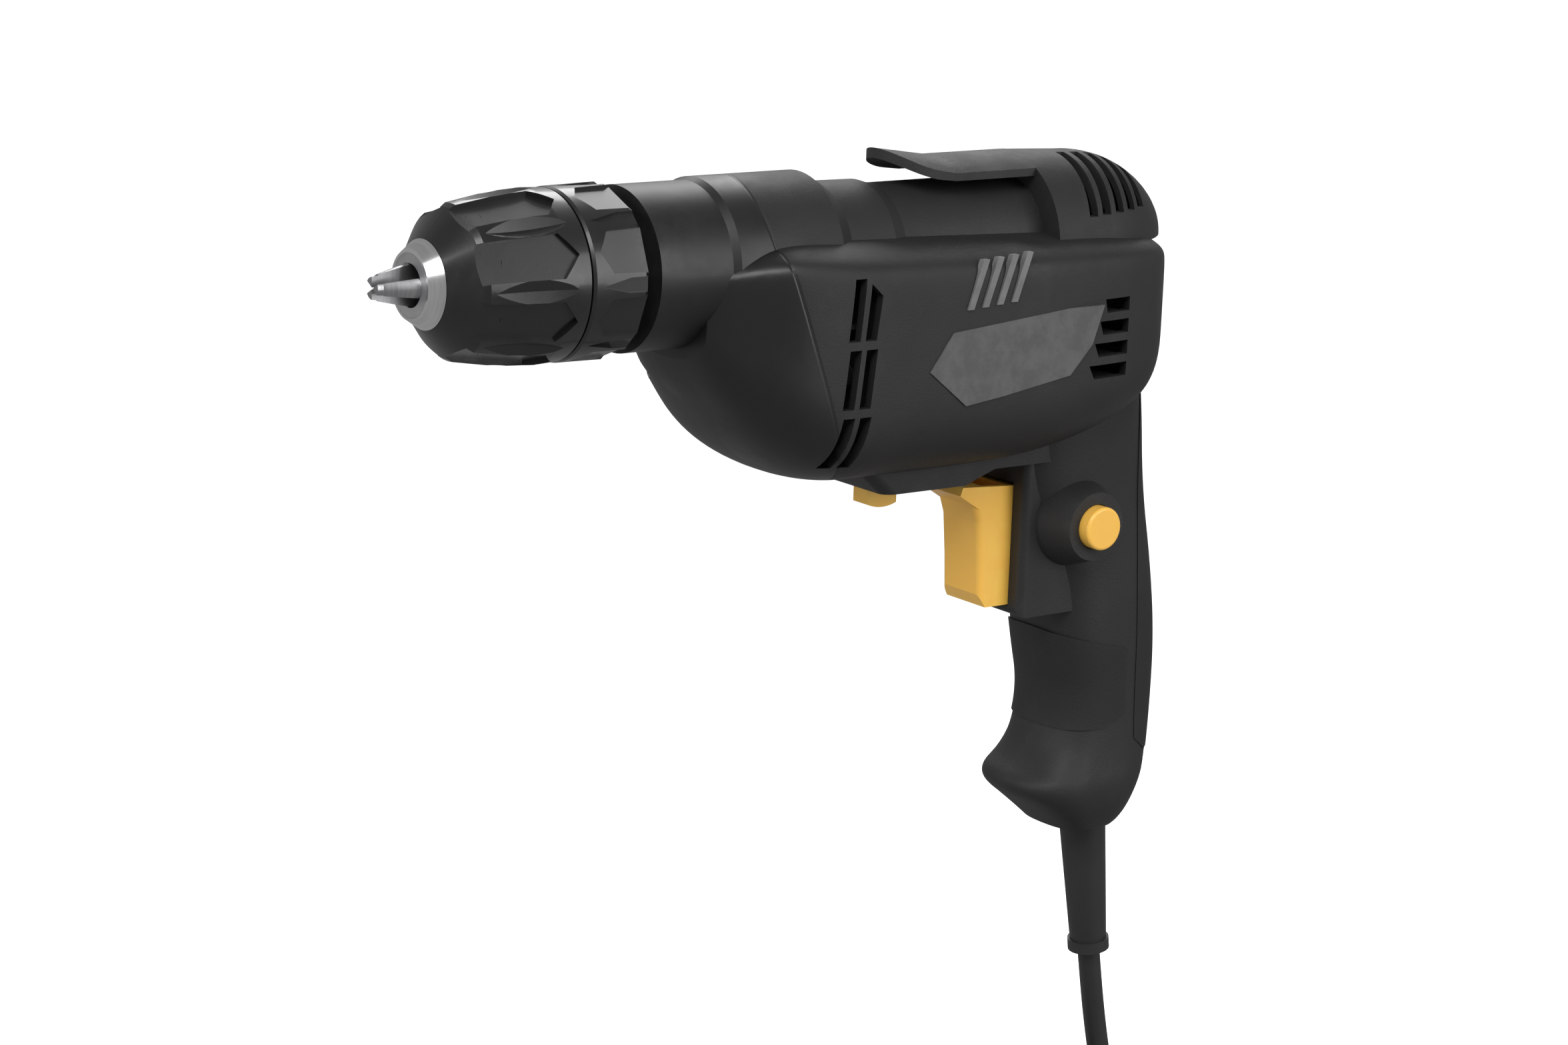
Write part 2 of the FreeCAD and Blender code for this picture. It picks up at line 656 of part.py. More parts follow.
def jaw_shape():
    """One jaw: a sloped rod whose front is cut to a wedge that closes on the spindle axis."""
    blank = sloped_rod(size("jaw_radius"), -2.0, size("jaw_length"))
    tip = size("jaw_tip")
    blank = blank.common(slab(tip, tip + 60, -10, 10, -30, 40))
    inner = 0.12
    for way in (-1, 1):
        lean = Rotation(X_AXIS, way * 60.0)
        wedge = slab(tip - 5, tip + 60, -30, 30, -30, inner)
        wedge.Placement = Placement(Vector(0, 0, 0), lean)
        blank = blank.cut(wedge)
    nose = turned_solid(((tip - 1, 2.6), (tip - 1, 12.0), (tip + 9, 12.0), (tip + 1.5, 2.9)), 0.0)
    return blank.cut(nose)


front = size("sleeve_front")
split = size("chuck_split")
nut = size("nut_front")
for place in range(JAW_COUNT):
    add_node("chuck_jaw_%d" % (place + 1), placed_about_spindle(jaw_shape(), jaw_turn(place)))

bores = [placed_about_spindle(sloped_rod(size("jaw_radius") + FIT, 0.0, 60.0), jaw_turn(place))
         for place in range(JAW_COUNT)]
body_blank = turned_body("chuck_body_blank", (
    ("sleeve_front - 3.6", "5.3"), ("sleeve_front - 3.6", "7.7"), ("sleeve_front", "8.7"), ("sleeve_front", "10.2"),
    ("nut_front + nut_length", "10.2"), ("nut_front + nut_length", "14.0"), ("chuck_split - 3", "14.0"),
    ("chuck_split - 3", "13.0"), ("chuck_rear - 2", "13.0"), ("chuck_rear - 2", "thread_radius"),
    ("chuck_split", "thread_radius"), ("chuck_split", "5.3")))
tooled_node("chuck_body", body_blank, bores)
turned_node("nose_ring", (
    ("sleeve_front - 3.6", "7.75"), ("sleeve_front - 3.6", "8.5"), ("sleeve_front - 0.1", "10.85"),
    ("sleeve_front - 0.1", "8.75")))
turned_node("jaw_nut", (
    ("nut_front", "10.2 + fit"), ("nut_front", "15.1"), ("nut_front + nut_length", "15.1"),
    ("nut_front + nut_length", "10.2 + fit")))
sleeve_blank = turned_body("front_sleeve_blank", (
    ("sleeve_front", "10.25 + fit"), ("sleeve_front", "10.95"), ("sleeve_front + 5.8", "18.0"),
    ("sleeve_front + 7.2", "18.9"), ("sleeve_front + 19", "chuck_radius - 0.5"), ("chuck_split - 6", "chuck_radius"),
    ("chuck_split - 0.6", "chuck_radius - 0.25"), ("chuck_split - 0.6", "17.7"), ("nut_front + nut_length", "17.7"),
    ("nut_front + nut_length", "15.1"), ("nut_front - 1", "15.1"), ("nut_front - 1", "10.25 + fit")))


def grip_pockets():
    """Six-sided pockets, open towards the nose, and pointed grooves between them round the front sleeve."""
    cutters = []
    count = 8
    pocket_slope = 6.8
    pocket_floor = size("chuck_radius") - 4.2
    pocket_place = Vector(size("sleeve_front") + 6.4, 0, pocket_floor)
    reach = size("chuck_split") - 3.0 - pocket_place.x
    outline = ((-4, -4.9), (reach - 4.6, -5.5), (reach, 0), (reach - 4.6, 5.5), (-4, 4.9))
    points = [Vector(x, across, 0) for x, across in outline]
    pocket = Part.Face(Part.makePolygon(points + points[:1])).extrude(Vector(0, 0, 7))
    pocket.Placement = Placement(pocket_place, Rotation(Y_AXIS, -pocket_slope))
    wheel = 66.0
    lean = math.radians(5.0)
    middle = size("chuck_split") - 15.5
    hub = Vector(middle - wheel * math.sin(lean), 0, size("chuck_radius") - 2.1 + wheel * math.cos(lean))
    for step in range(count):
        turn = 360.0 / count * step
        cutter = pocket.copy()
        cutter.Placement = Placement(CHUCK_AXIS, Rotation(X_AXIS, turn + 22.5)).multiply(pocket.Placement)
        cutters.append(cutter)
        for way in (-1, 1):
            side = Part.makeCone(wheel, wheel - 3.0, 6.9, hub, Vector(0, way, 0))
            cutters.append(placed_about_spindle(side, Rotation(X_AXIS, turn)))
    return cutters


tooled_node("front_sleeve", sleeve_blank, grip_pockets())
rear_blank = turned_body("rear_sleeve_blank", (
    ("chuck_split", "13.0"), ("chuck_split", "chuck_radius - 0.35"), ("chuck_split + 0.8", "chuck_radius"),
    ("chuck_rear - 1.2", "chuck_radius + 0.25"), ("chuck_rear", "chuck_radius - 0.6"), ("chuck_rear", "18.0"),
    ("chuck_split + 5", "18.0"), ("chuck_split + 5", "13.0")))


def rear_pockets():
    cutters = []
    start = size("chuck_split") + 2.4
    end = size("chuck_rear") + 2.0
    count = 8
    for step in range(count):
        turn = 360.0 / count * step + 22.5
        outline = ((start, 0), (start + 3.2, -5.2), (end, -5.6), (end, 5.6), (start + 3.2, 5.2))
        points = [Vector(x, across, size("chuck_radius") - 1.3) for x, across in outline]
        pocket = Part.Face(Part.makePolygon(points + points[:1])).extrude(Vector(0, 0, 6))
        cutters.append(placed_about_spindle(pocket, Rotation(X_AXIS, turn)))
        outline = ((start, 0), (start + 8, -1.9), (end, -1.9), (end, 1.9), (start + 8, 1.9))
        points = [Vector(x, across, size("chuck_radius") - 0.9) for x, across in outline]
        notch = Part.Face(Part.makePolygon(points + points[:1])).extrude(Vector(0, 0, 6))
        cutters.append(placed_about_spindle(notch, Rotation(X_AXIS, turn + 180.0 / count)))
    return cutters


tooled_node("rear_sleeve", rear_blank, rear_pockets())
turned_node("chuck_screw", (
    ("chuck_split - 2.6", "0"), ("chuck_split - 2.6", "4.2"), ("chuck_split", "4.2"), ("chuck_split", "2.1"),
    ("chuck_split + 11", "2.1"), ("chuck_split + 11", "0")))

# ---------------------------------------------------------------- spindle, gears and bearings

turned_node("spindle", (
    ("chuck_split + 0.2", "2.1"), ("chuck_split + 0.2", "thread_radius"), ("chuck_rear - 2", "thread_radius"),
    ("chuck_rear - 2", "7.6"), ("front_bearing_place", "7.6"), ("front_bearing_place", "spindle_radius"),
    ("front_bearing_place + 8", "spindle_radius"), ("front_bearing_place + 8", "7.6"),
    ("gear_front - 1", "7.6"), ("gear_front - 1", "spindle_radius"), ("gear_front + gear_face", "spindle_radius"),
    ("gear_front + gear_face", "spindle_tail"), ("plate_front + plate_thick + 0.8", "spindle_tail"),
    ("plate_front + plate_thick + 0.8", "0"), ("chuck_split + 15", "0"), ("chuck_split + 15", "2.1")))


def ball_bearing(prefix, centre, axis_height, start, width, bore, outside, balls):
    """A deep-groove bearing in three pieces: outer race, inner race and the balls between them."""
    middle = (bore + outside) / 2
    ball = 0.29 * (outside - bore)
    groove = Part.makeTorus(middle, ball + 0.06, Vector(start + width / 2, 0, axis_height), X_AXIS)
    land = 0.42 * ball
    outer = ring(outside, middle + land, start, start + width, 0, axis_height).cut(groove)
    inner = ring(middle - land, bore, start, start + width, 0, axis_height).cut(groove)
    spheres = []
    for step in range(balls):
        angle = 2 * math.pi * step / balls
        place = Vector(start + width / 2, middle * math.cos(angle), axis_height + middle * math.sin(angle))
        spheres.append(Part.makeSphere(ball, place))
    add_node(prefix + "_outer_race", outer)
    add_node(prefix + "_inner_race", inner)
    add_node(prefix + "_balls", Part.makeCompound(spheres))


ball_bearing("spindle_bearing", 0, SPINDLE, size("front_bearing_place"), 8.0, size("spindle_radius"), 14.0, 8)


def involute_point(base, angle):
    reach = math.sqrt(1 + angle * angle)
    turn = angle - math.atan(angle)
    return base * reach, turn


def gear_outline(teeth, tip, root, slack, phase):
    """Corners of a spur gear with involute flanks, thinned by slack for running clearance."""
    pitch = size("gear_module") * teeth / 2
    pressure = math.radians(20)
    base = pitch * math.cos(pressure)
    half_tooth = math.pi / (2 * teeth) + math.tan(pressure) - pressure - slack / pitch
    points = []
    for tooth in range(int(teeth)):
        middle = 2 * math.pi * tooth / teeth + phase
        flank = []
        low = max(base, root)
        for step in range(4):
            radius = low + (tip - low) * step / 3
            angle = math.sqrt(max((radius / base) ** 2 - 1, 0))
            turn = angle - math.atan(angle)
            flank.append((radius, half_tooth - turn))
        if root < base:
            flank.insert(0, (root, half_tooth))
        for radius, spread in flank:
            points.append((radius, middle - spread))
        for radius, spread in reversed(flank):
            points.append((radius, middle + spread))
    return [(radius * math.cos(angle), radius * math.sin(angle)) for radius, angle in points]


def gear_solid(teeth, tip, root, slack, phase, start, width, height):
    corners = [Vector(start, across, up + height) for across, up in gear_outline(teeth, tip, root, slack, phase)]
    return Part.Face(Part.makePolygon(corners + corners[:1])).extrude(Vector(width, 0, 0))


MODULE = size("gear_module")
gear_pitch = MODULE * size("gear_teeth") / 2
pinion_pitch = MODULE * size("pinion_teeth") / 2
gear_start = size("gear_front")
gear_width = size("gear_face")
gear_blank = gear_solid(size("gear_teeth"), gear_pitch + 0.75 * MODULE, gear_pitch - 1.3 * MODULE, 0.10,
                        -math.pi / 2 + math.pi / size("gear_teeth"), gear_start, gear_width, SPINDLE)
web = [ring(14.2, 9.0, gear_start - 1, gear_start + 2.2, 0, SPINDLE),
       ring(14.2, 9.0, gear_start + gear_width - 2.2, gear_start + gear_width + 1, 0, SPINDLE)]
add_node("spindle_gear", gear_blank.cut([rod(size("spindle_radius"), -130, -90, 0, SPINDLE)] + web))
turned_node("spindle_bush", (
    ("plate_front - 1.3", "spindle_tail + fit"), ("plate_front - 1.3", "8"),
    ("plate_front + plate_thick + 0.9", "8"), ("plate_front + plate_thick + 0.9", "spindle_tail + fit")))
plate_front = size("plate_front")
plate_back = plate_front + size("plate_thick")
plate_blank = gear_plate_blank(-1).fuse(gear_plate_blank(1)).removeSplitter()
add_node("gear_plate", plate_blank.cut([rod(8.0, plate_front - 1, plate_back + 1, 0, SPINDLE),
                                        rod(11.0, plate_front - 1, plate_back + 1, 0, MOTOR)]))

# ---------------------------------------------------------------- motor

core_front = size("core_front")
core_back = core_front + size("core_length")
fan_front = size("fan_front")
rear_place = size("rear_bearing_place")
front_race = plate_back - 5.6
shaft_front = size("shaft_front_radius")
shaft = size("shaft_radius")
pinion = gear_solid(size("pinion_teeth"), pinion_pitch + 0.95 * MODULE, pinion_pitch - 1.0 * MODULE, 0.10,
                    math.pi / 2, gear_start - 0.5, front_race - gear_start + 0.5, MOTOR)
shaft_solid = rod(shaft_front, front_race, fan_front + size("fan_width"), 0, MOTOR)
shaft_solid = shaft_solid.fuse([pinion, rod(shaft + 1.6, fan_front + size("fan_width"), rear_place - 1, 0, MOTOR),
                                rod(shaft, rear_place - 1, rear_place + 6.4, 0, MOTOR)])
add_node("armature_shaft", shaft_solid)
ball_bearing("armature_front_bearing", 0, MOTOR, front_race, 5.6, shaft_front, 11.0, 7)
ball_bearing("armature_rear_bearing", 0, MOTOR, rear_place, 6.0, shaft, 9.5, 7)

SLOTS = 12
core_radius = size("core_radius")


def around_motor(shape, angle):
    copy = shape.copy()
    copy.rotate(Vector(0, 0, MOTOR), X_AXIS, angle)
    return copy


slot = slab(core_front - 1, core_back + 1, -1.7, 1.7, MOTOR + 7.5, MOTOR + core_radius - 1.4)
mouth = slab(core_front - 1, core_back + 1, -0.7, 0.7, MOTOR + core_radius - 2, MOTOR + core_radius + 1)
slots = [around_motor(slot.fuse(mouth), 360.0 / SLOTS * step) for step in range(SLOTS)]
core = ring(core_radius, shaft + 1.6, core_front, core_back, 0, MOTOR).cut(slots)
add_node("armature_core", core)
bars = [around_motor(slab(core_front - 1, core_back + 1, -1.6, 1.6, MOTOR + 7.6, MOTOR + core_radius - 1.5),
                     360.0 / SLOTS * step) for step in range(SLOTS)]
ends = [turned_solid(((core_front - 5.5, 5.0), (core_front - 5.5, 10.5), (core_front - 3.5, 13.4),
                      (core_front - 0.1, 13.6), (core_front - 0.1, 5.0)), MOTOR),
        turned_solid(((core_back + 0.1, 5.0), (core_back + 0.1, 13.6), (core_back + 3.5, 13.4),
                      (core_back + 6.5, 10.8), (core_back + 6.5, 5.0)), MOTOR)]
add_node("armature_windings", ends[0].fuse(bars + [ends[1]]))
comm = size("commutator_front")
comm_back = comm + size("commutator_length")
comm_radius = size("commutator_radius")
SEGMENTS = 24
grooves = [around_motor(slab(comm - 1, comm_back + 1, -0.2, 0.2, MOTOR + comm_radius - 0.8, MOTOR + comm_radius + 2),
                        360.0 / SEGMENTS * step) for step in range(SEGMENTS)]
riser = ring(comm_radius + 1.4, comm_radius - 1, comm, comm + 2, 0, MOTOR)
add_node("commutator", ring(comm_radius, shaft + 1.6, comm, comm_back, 0, MOTOR).fuse(riser).cut(grooves))

fan_radius = size("fan_radius")
fan_width = size("fan_width")
BLADES = 11
blade = slab(fan_front + 1, fan_front + fan_width, -0.6, 0.6, MOTOR + 9.0, MOTOR + fan_radius)
blade.rotate(Vector(0, 0, MOTOR + 14), X_AXIS, 28)
blade = blade.common(rod(fan_radius, fan_front, fan_front + fan_width, 0, MOTOR))
hub = ring(6.8, shaft_front, fan_front, fan_front + fan_width, 0, MOTOR)
disc = ring(fan_radius, shaft_front, fan_front, fan_front + 1.5, 0, MOTOR)
blades = [around_motor(blade, 360.0 / BLADES * step) for step in range(BLADES)]
add_node("cooling_fan", hub.fuse([disc] + blades))

stator_radius = size("stator_radius")
bore = core_radius + size("air_gap")
stator = ring(stator_radius, bore, core_front - 1, core_back + 1, 0, MOTOR)
windows = []
for way in (-1, 1):
    window = ring(stator_radius - 4.6, bore + 4.0, core_front - 2, core_back + 2, 0, MOTOR)
    window = window.common(slab(core_front - 2, core_back + 2, way * 12 - 12, way * 12 + 12, MOTOR - 15, MOTOR + 15))
    throat = slab(core_front - 2, core_back + 2, way * 13.5 - 8.5, way * 13.5 + 8.5, MOTOR - 5.5, MOTOR + 5.5)
    throat = throat.common(ring(bore + 4.2, bore - 1, core_front - 2, core_back + 2, 0, MOTOR))
    windows += [window, throat]
add_node("field_core", stator.cut(windows))
coils = []
for way in (-1, 1):
    bundle = ring(stator_radius - 4.8, bore + 4.2, core_front - 5, core_back + 6, 0, MOTOR)
    keep = slab(core_front - 6, core_back + 7, -30, 30, MOTOR + way * 8.0 - 6.8, MOTOR + way * 8.0 + 6.8)
    outer_part = bundle.common(keep)
    caps = ring(stator_radius - 4.8, bore + 4.2, core_front - 5, core_front - 1.2, 0, MOTOR).fuse(
        ring(stator_radius - 4.8, bore + 4.2, core_back + 1.2, core_back + 6, 0, MOTOR))
    keep_caps = slab(core_front - 6, core_back + 7, -30, 30, MOTOR + way * 15.0 - 13.8, MOTOR + way * 15.0 + 13.8)
    coils.append(outer_part.fuse(caps.common(keep_caps)))
add_node("field_coils", Part.makeCompound(coils))
baffle = both_sides(inner_body, WALL + 0.15).common(
    slab(fan_front + fan_width + 0.8, fan_front + fan_width + 2.6, -50, 50, 30, 130))
add_node("fan_baffle", baffle.cut(rod(19.0, -120, 0, 0, MOTOR)))

brush_x = comm + 8.0
holders = []
carbons = []
coils = []
for way in (-1, 1):
    tube_start = comm_radius + 1.6
    tube_end = 28.0
    low, high = sorted((way * tube_start, way * tube_end))
    holder = slab(brush_x - 4.6, brush_x + 4.6, low, high, MOTOR - 4.2, MOTOR + 4.2)
    low, high = sorted((way * (tube_start - 1), way * (tube_end - 1.2)))
    holders.append(holder.cut(slab(brush_x - 3.2, brush_x + 3.2, low, high, MOTOR - 2.7, MOTOR + 2.7)))
    low, high = sorted((way * (comm_radius + FIT), way * 21.0))
    block = slab(brush_x - 3.1, brush_x + 3.1, low, high, MOTOR - 2.6, MOTOR + 2.6)
    carbons.append(block.cut(rod(comm_radius + FIT, -60, 0, 0, MOTOR)))
    coils.append(spring(0.3, 2.0, 5.7, 5, Vector(brush_x, way * 21.05, MOTOR), Vector(0, way, 0)))
add_node("brush_holders", Part.makeCompound(holders))
add_node("carbon_brushes", Part.makeCompound(carbons))
add_node("brush_springs", Part.makeCompound(coils))

# ---------------------------------------------------------------- controls

half_trigger = size("trigger_width") / 2
front_face = size("block_front")
top = size("trigger_top")
low = size("block_bottom") + WALL + GAP
side_view = ((front_face + 2.4, low), (front_face + 2.4, top), (-38.8, top + 1.2), (-39.6, top - 1.0),
             (-34.6, top - 4.2), (-33.0, top - 9), (-32.0, 10.0), (-31.5, low + 3.5), (-29.5, low))
trigger = prism(side_view, -half_trigger, half_trigger)
edges = [edge for edge in trigger.Edges if edge.BoundBox.YLength < 0.01 and edge.BoundBox.XMax < -31.0
         and edge.BoundBox.ZLength > 3.0 and edge.BoundBox.ZMax < top - 1]
trigger = trigger.makeFillet(1.8, edges)
hollow = slab(-31.4, front_face - 1.0, -half_trigger + 1.6, half_trigger - 1.6, top - 7.0, top + 5)
lugs = slab(front_face + WALL + 0.1, front_face + 4.6, -half_trigger - 1.4, half_trigger + 1.4, low + 3, top - 5)
stem = rod(2.0, front_face + 4.0, size("switch_front") + 3.5, 0, 12.0)
trigger = trigger.fuse([lugs, stem]).cut(hollow)
add_node("trigger", trigger)
add_node("trigger_spring", spring(0.45, 3.4, size("switch_front") - front_face - 4.7, 5,
                                  Vector(front_face + 4.65, 0, 12.0), X_AXIS))
half_switch = size("switch_width") / 2
switch = slab(size("switch_front"), size("switch_back"), -half_switch, half_switch, size("switch_bottom"),
              size("switch_top"))
add_node("switch_body", switch.cut(rod(2.0 + FIT, size("switch_front") - 1, size("switch_front") + 11, 0, 12.0)))

button_x = size("button_x")
button_z = size("button_z")
face = size("button_face")
button = cross_rod(size("button_radius"), button_x, button_z, face, -17.0)
rim = [edge for edge in button.Edges if edge.BoundBox.YMax < face + 0.01]
button = button.makeFillet(0.8, rim)
flange = cross_rod(size("button_radius") + 1.1, button_x, button_z, -20.2, -17.0)
add_node("lock_button", button.fuse(flange))
add_node("lock_spring", spring(0.4, 3.0, 17.0 - half_switch - 0.1, 3,
                               Vector(button_x, -half_switch - 0.05, button_z), Vector(0, -1, 0)))

pivot = size("lever_pivot")
chin = size("chin_bottom")
paddle = slab(pivot - 20.0, pivot - 10.5, -3.0, 3.0, chin - 6.5, chin + 3.4)
paddle = paddle.common(cross_rod(12.0, pivot - 15.0, chin + 5.5, -4, 4))
arm = slab(pivot - 16.0, pivot, -2.6, 2.6, chin + WALL + 0.3, chin + WALL + 3.0)
eye = Part.makeCylinder(4.2, 6.0, Vector(pivot, 0, chin + WALL + 0.3), Z_AXIS)
add_node("reversing_lever", paddle.fuse([arm, eye]))

# ---------------------------------------------------------------- mains cord

clamp_face = size("cord_radius") + 0.05
clamp_end = clamp_face + 2.4
bar = slab(CLAMP_PLACES[0] - 3.2, CLAMP_PLACES[1] + 3.2, clamp_face, clamp_end, CLAMP_HEIGHT - 2.4, CLAMP_HEIGHT + 2.4)
add_node("cord_clamp", bar.cut([cross_rod(1.4, x, CLAMP_HEIGHT, 0, 10) for x in CLAMP_PLACES]))
clamp_screws = []
for x in CLAMP_PLACES:
    shank = cross_rod(1.4, x, CLAMP_HEIGHT, -8.0, clamp_end + 0.1)
    clamp_screws.append(shank.fuse(cross_rod(2.6, x, CLAMP_HEIGHT, clamp_end, clamp_end + 1.8)))
add_node("clamp_screws", Part.makeCompound(clamp_screws))

relief_end = size("relief_length")
sleeve = Part.makeCone(6.5, 5.0, relief_end, along_relief(0), RELIEF_AXIS)
top_part = relief_rod(6.0, -8.2, 0.01)
flange = relief_rod(7.8, -5.3, -3.1)
tail = relief_rod(5.8, relief_end - 3.2, relief_end)
add_node("strain_relief", sleeve.fuse([top_part, flange, tail]).cut(relief_rod(size("cord_radius"), -10, 60)))
add_node("inner_cord", relief_rod(size("cord_radius"), -24.0, relief_end))

END = along_relief(relief_end)
ROUTE = ((END.x, END.z), (22.9, -120.0), (25.6, -134.0), (29.0, -149.0), (31.2, -165.0))
LEAD = ((31.8, -198.0), (34.0, -211.0), (36.0, -226.0))


def cord_tube(label, route):
    """A cord of straight runs joined by tangent arcs, each as large as its two runs allow."""
    points = [Vector(x, 0, z) for x, z in route]
    edges = []
    start = points[0]
    length = 0.0
    for place in range(1, len(points) - 1):
        before = points[place] - points[place - 1]
        after = points[place + 1] - points[place]
        turn = before.getAngle(after)
        setback = 0.45 * min(before.Length, after.Length)
        radius = setback / math.tan(turn / 2)
        enter = points[place] - before.normalize() * setback
        leave = points[place] + after.normalize() * setback
        inward = (leave - points[place]).normalize() + (enter - points[place]).normalize()
        middle = points[place] + inward.normalize() * radius * (1 / math.cos(turn / 2) - 1)
        edges.append(Part.LineSegment(start, enter).toShape())
        edges.append(Part.Arc(enter, middle, leave).toShape())
        print(label, "bend radius", round(radius, 1))
        start = leave
    edges.append(Part.LineSegment(start, points[-1]).toShape())
    path = Part.Wire(edges)
    direction = points[1] - points[0]
    section = Part.Wire(Part.makeCircle(size("cord_radius"), points[0], direction))
    tube = path.makePipeShell([section], True, True)
    print(label, "volume", round(tube.Volume, 1), "expected",
          round(math.pi * size("cord_radius") ** 2 * path.Length, 1))
    add_node(label, tube)


cord_tube("cord", ROUTE)
coil_centre = Vector(ROUTE[-1][0] - size("coil_radius"), 0, ROUTE[-1][1] - 22.5)
add_node("cord_coil", Part.makeTorus(size("coil_radius"), size("coil_thick"), coil_centre, Y_AXIS))
cord_tube("plug_lead", LEAD)
lead_end = Vector(LEAD[-1][0], 0, LEAD[-1][1])
plug_neck = Part.makeCone(5.0, 8.0, 12.0, lead_end, Vector(0, 0, -1))
plug_shoulder = Part.makeCone(8.0, 18.2, 9.0, lead_end - Z_AXIS * 12.0, Vector(0, 0, -1))
plug_base = Part.makeCylinder(18.2, 9.0, lead_end - Z_AXIS * 21.0, Vector(0, 0, -1))
plug = plug_neck.fuse([plug_shoulder, plug_base])
flat = slab(lead_end.x - 30, lead_end.x + 30, -11.5, 11.5, lead_end.z - 31, lead_end.z + 1)
plug = plug.common(flat)
plug_face = lead_end.z - 30.0
pins = []
for way in (-1, 1):
    place = Vector(lead_end.x + way * size("pin_spread") / 2, 0, plug_face + 6.0)
    root = Part.makeCylinder(size("pin_radius") - 0.6, 6.5, place, Vector(0, 0, -1))
    pin = Part.makeCylinder(size("pin_radius"), size("pin_length"), place - Z_AXIS * 6.0, Vector(0, 0, -1)).fuse(root)
    pins.append(pin)
add_node("plug_body", plug.cut(pins))
add_node("plug_pins", Part.makeCompound(pins))
tie_place = coil_centre + Vector(size("coil_radius"), 0, 0)
tie_outer = Part.makeCylinder(size("coil_thick") + 1.4, 6.0, tie_place - Z_AXIS * 3.0, Z_AXIS)
tie_inner = Part.makeCylinder(size("coil_thick") + 0.3, 8.0, tie_place - Z_AXIS * 4.0, Z_AXIS)
add_node("coil_tie", tie_outer.cut(tie_inner))

# ---------------------------------------------------------------- check and write

doc.recompute()
for item in doc.Objects:
    if "Invalid" in item.State or "Error" in item.State:
        raise RuntimeError(item.Label + " failed to build")
for node in NODES:
    shape = node.Shape
    if shape.isNull() or not shape.isValid() or not shape.Solids:
        raise RuntimeError(node.Label + " has no valid solid")
for node in NODES:
    node.Shape.exportStep("parts/%s.step" % node.Label)
    print(node.Label, len(node.Shape.Solids), round(node.Shape.Volume, 1))
print(len(NODES), "nodes")
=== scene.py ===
import json
import math

import bpy
from mathutils import Matrix, Vector


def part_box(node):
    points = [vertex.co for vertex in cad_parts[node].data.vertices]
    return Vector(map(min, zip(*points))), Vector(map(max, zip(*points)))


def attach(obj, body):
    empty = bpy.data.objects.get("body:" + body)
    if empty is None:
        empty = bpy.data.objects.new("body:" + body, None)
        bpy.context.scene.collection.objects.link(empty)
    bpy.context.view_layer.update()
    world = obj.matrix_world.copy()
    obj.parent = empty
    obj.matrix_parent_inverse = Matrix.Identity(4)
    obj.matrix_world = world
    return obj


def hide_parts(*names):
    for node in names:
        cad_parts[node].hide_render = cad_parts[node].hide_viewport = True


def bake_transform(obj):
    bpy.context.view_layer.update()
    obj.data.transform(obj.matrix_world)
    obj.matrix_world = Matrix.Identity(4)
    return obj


bl_info = {
    "name": "Mains drill",
    "version": (1, 0, 0),
    "blender": (4, 5, 0),
    "location": "View3D > Sidebar > Drill",
    "description": "Finishes the mains drill: its materials, springs, cord and studio",
    "category": "Object",
}

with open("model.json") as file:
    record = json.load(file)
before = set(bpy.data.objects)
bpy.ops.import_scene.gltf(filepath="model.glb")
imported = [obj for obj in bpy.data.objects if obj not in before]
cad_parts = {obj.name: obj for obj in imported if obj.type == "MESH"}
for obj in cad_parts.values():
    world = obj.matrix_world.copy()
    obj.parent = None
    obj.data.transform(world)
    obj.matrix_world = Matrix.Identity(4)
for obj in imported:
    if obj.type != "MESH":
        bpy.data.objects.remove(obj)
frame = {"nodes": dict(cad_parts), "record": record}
NODES = frame["nodes"]
SLOTS = {part["node"]: part["material_slot"] for part in frame["record"]["subparts"]}
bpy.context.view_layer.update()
MM = 0.001


# ---------------------------------------------------------------- settings


class DrillFinish(bpy.types.PropertyGroup):
    """Colours and textures of the drill's materials."""

    shell_color: bpy.props.FloatVectorProperty(
        name="Shell", description="Colour of the textured housing", subtype="COLOR", size=3, min=0, max=1,
        default=(0.0115, 0.0115, 0.0120))
    smooth_color: bpy.props.FloatVectorProperty(
        name="Smooth front", description="Colour of the smooth front of the housing", subtype="COLOR", size=3,
        min=0, max=1, default=(0.0070, 0.0070, 0.0073))
    soft_color: bpy.props.FloatVectorProperty(
        name="Soft grip", description="Colour of the soft grip", subtype="COLOR", size=3, min=0, max=1,
        default=(0.0095, 0.0095, 0.0098))
    amber_color: bpy.props.FloatVectorProperty(
        name="Amber", description="Colour of the trigger, button and lever", subtype="COLOR", size=3, min=0,
        max=1, default=(1.0, 0.55, 0.09))
    badge_color: bpy.props.FloatVectorProperty(
        name="Badge", description="Colour of the badge", subtype="COLOR", size=3, min=0, max=1,
        default=(0.072, 0.072, 0.074))
    accent_color: bpy.props.FloatVectorProperty(
        name="Accents", description="Colour of the light ribs", subtype="COLOR", size=3, min=0, max=1,
        default=(0.14, 0.14, 0.143))
    grain: bpy.props.FloatProperty(
        name="Grain", description="Size of the moulded texture's bumps", default=0.45 * MM, min=0.05 * MM,
        max=5 * MM, unit="LENGTH", precision=5)
    grain_depth: bpy.props.FloatProperty(
        name="Grain depth", description="Depth of the moulded texture", default=0.06 * MM, min=0.0,
        max=1 * MM, unit="LENGTH", precision=5)


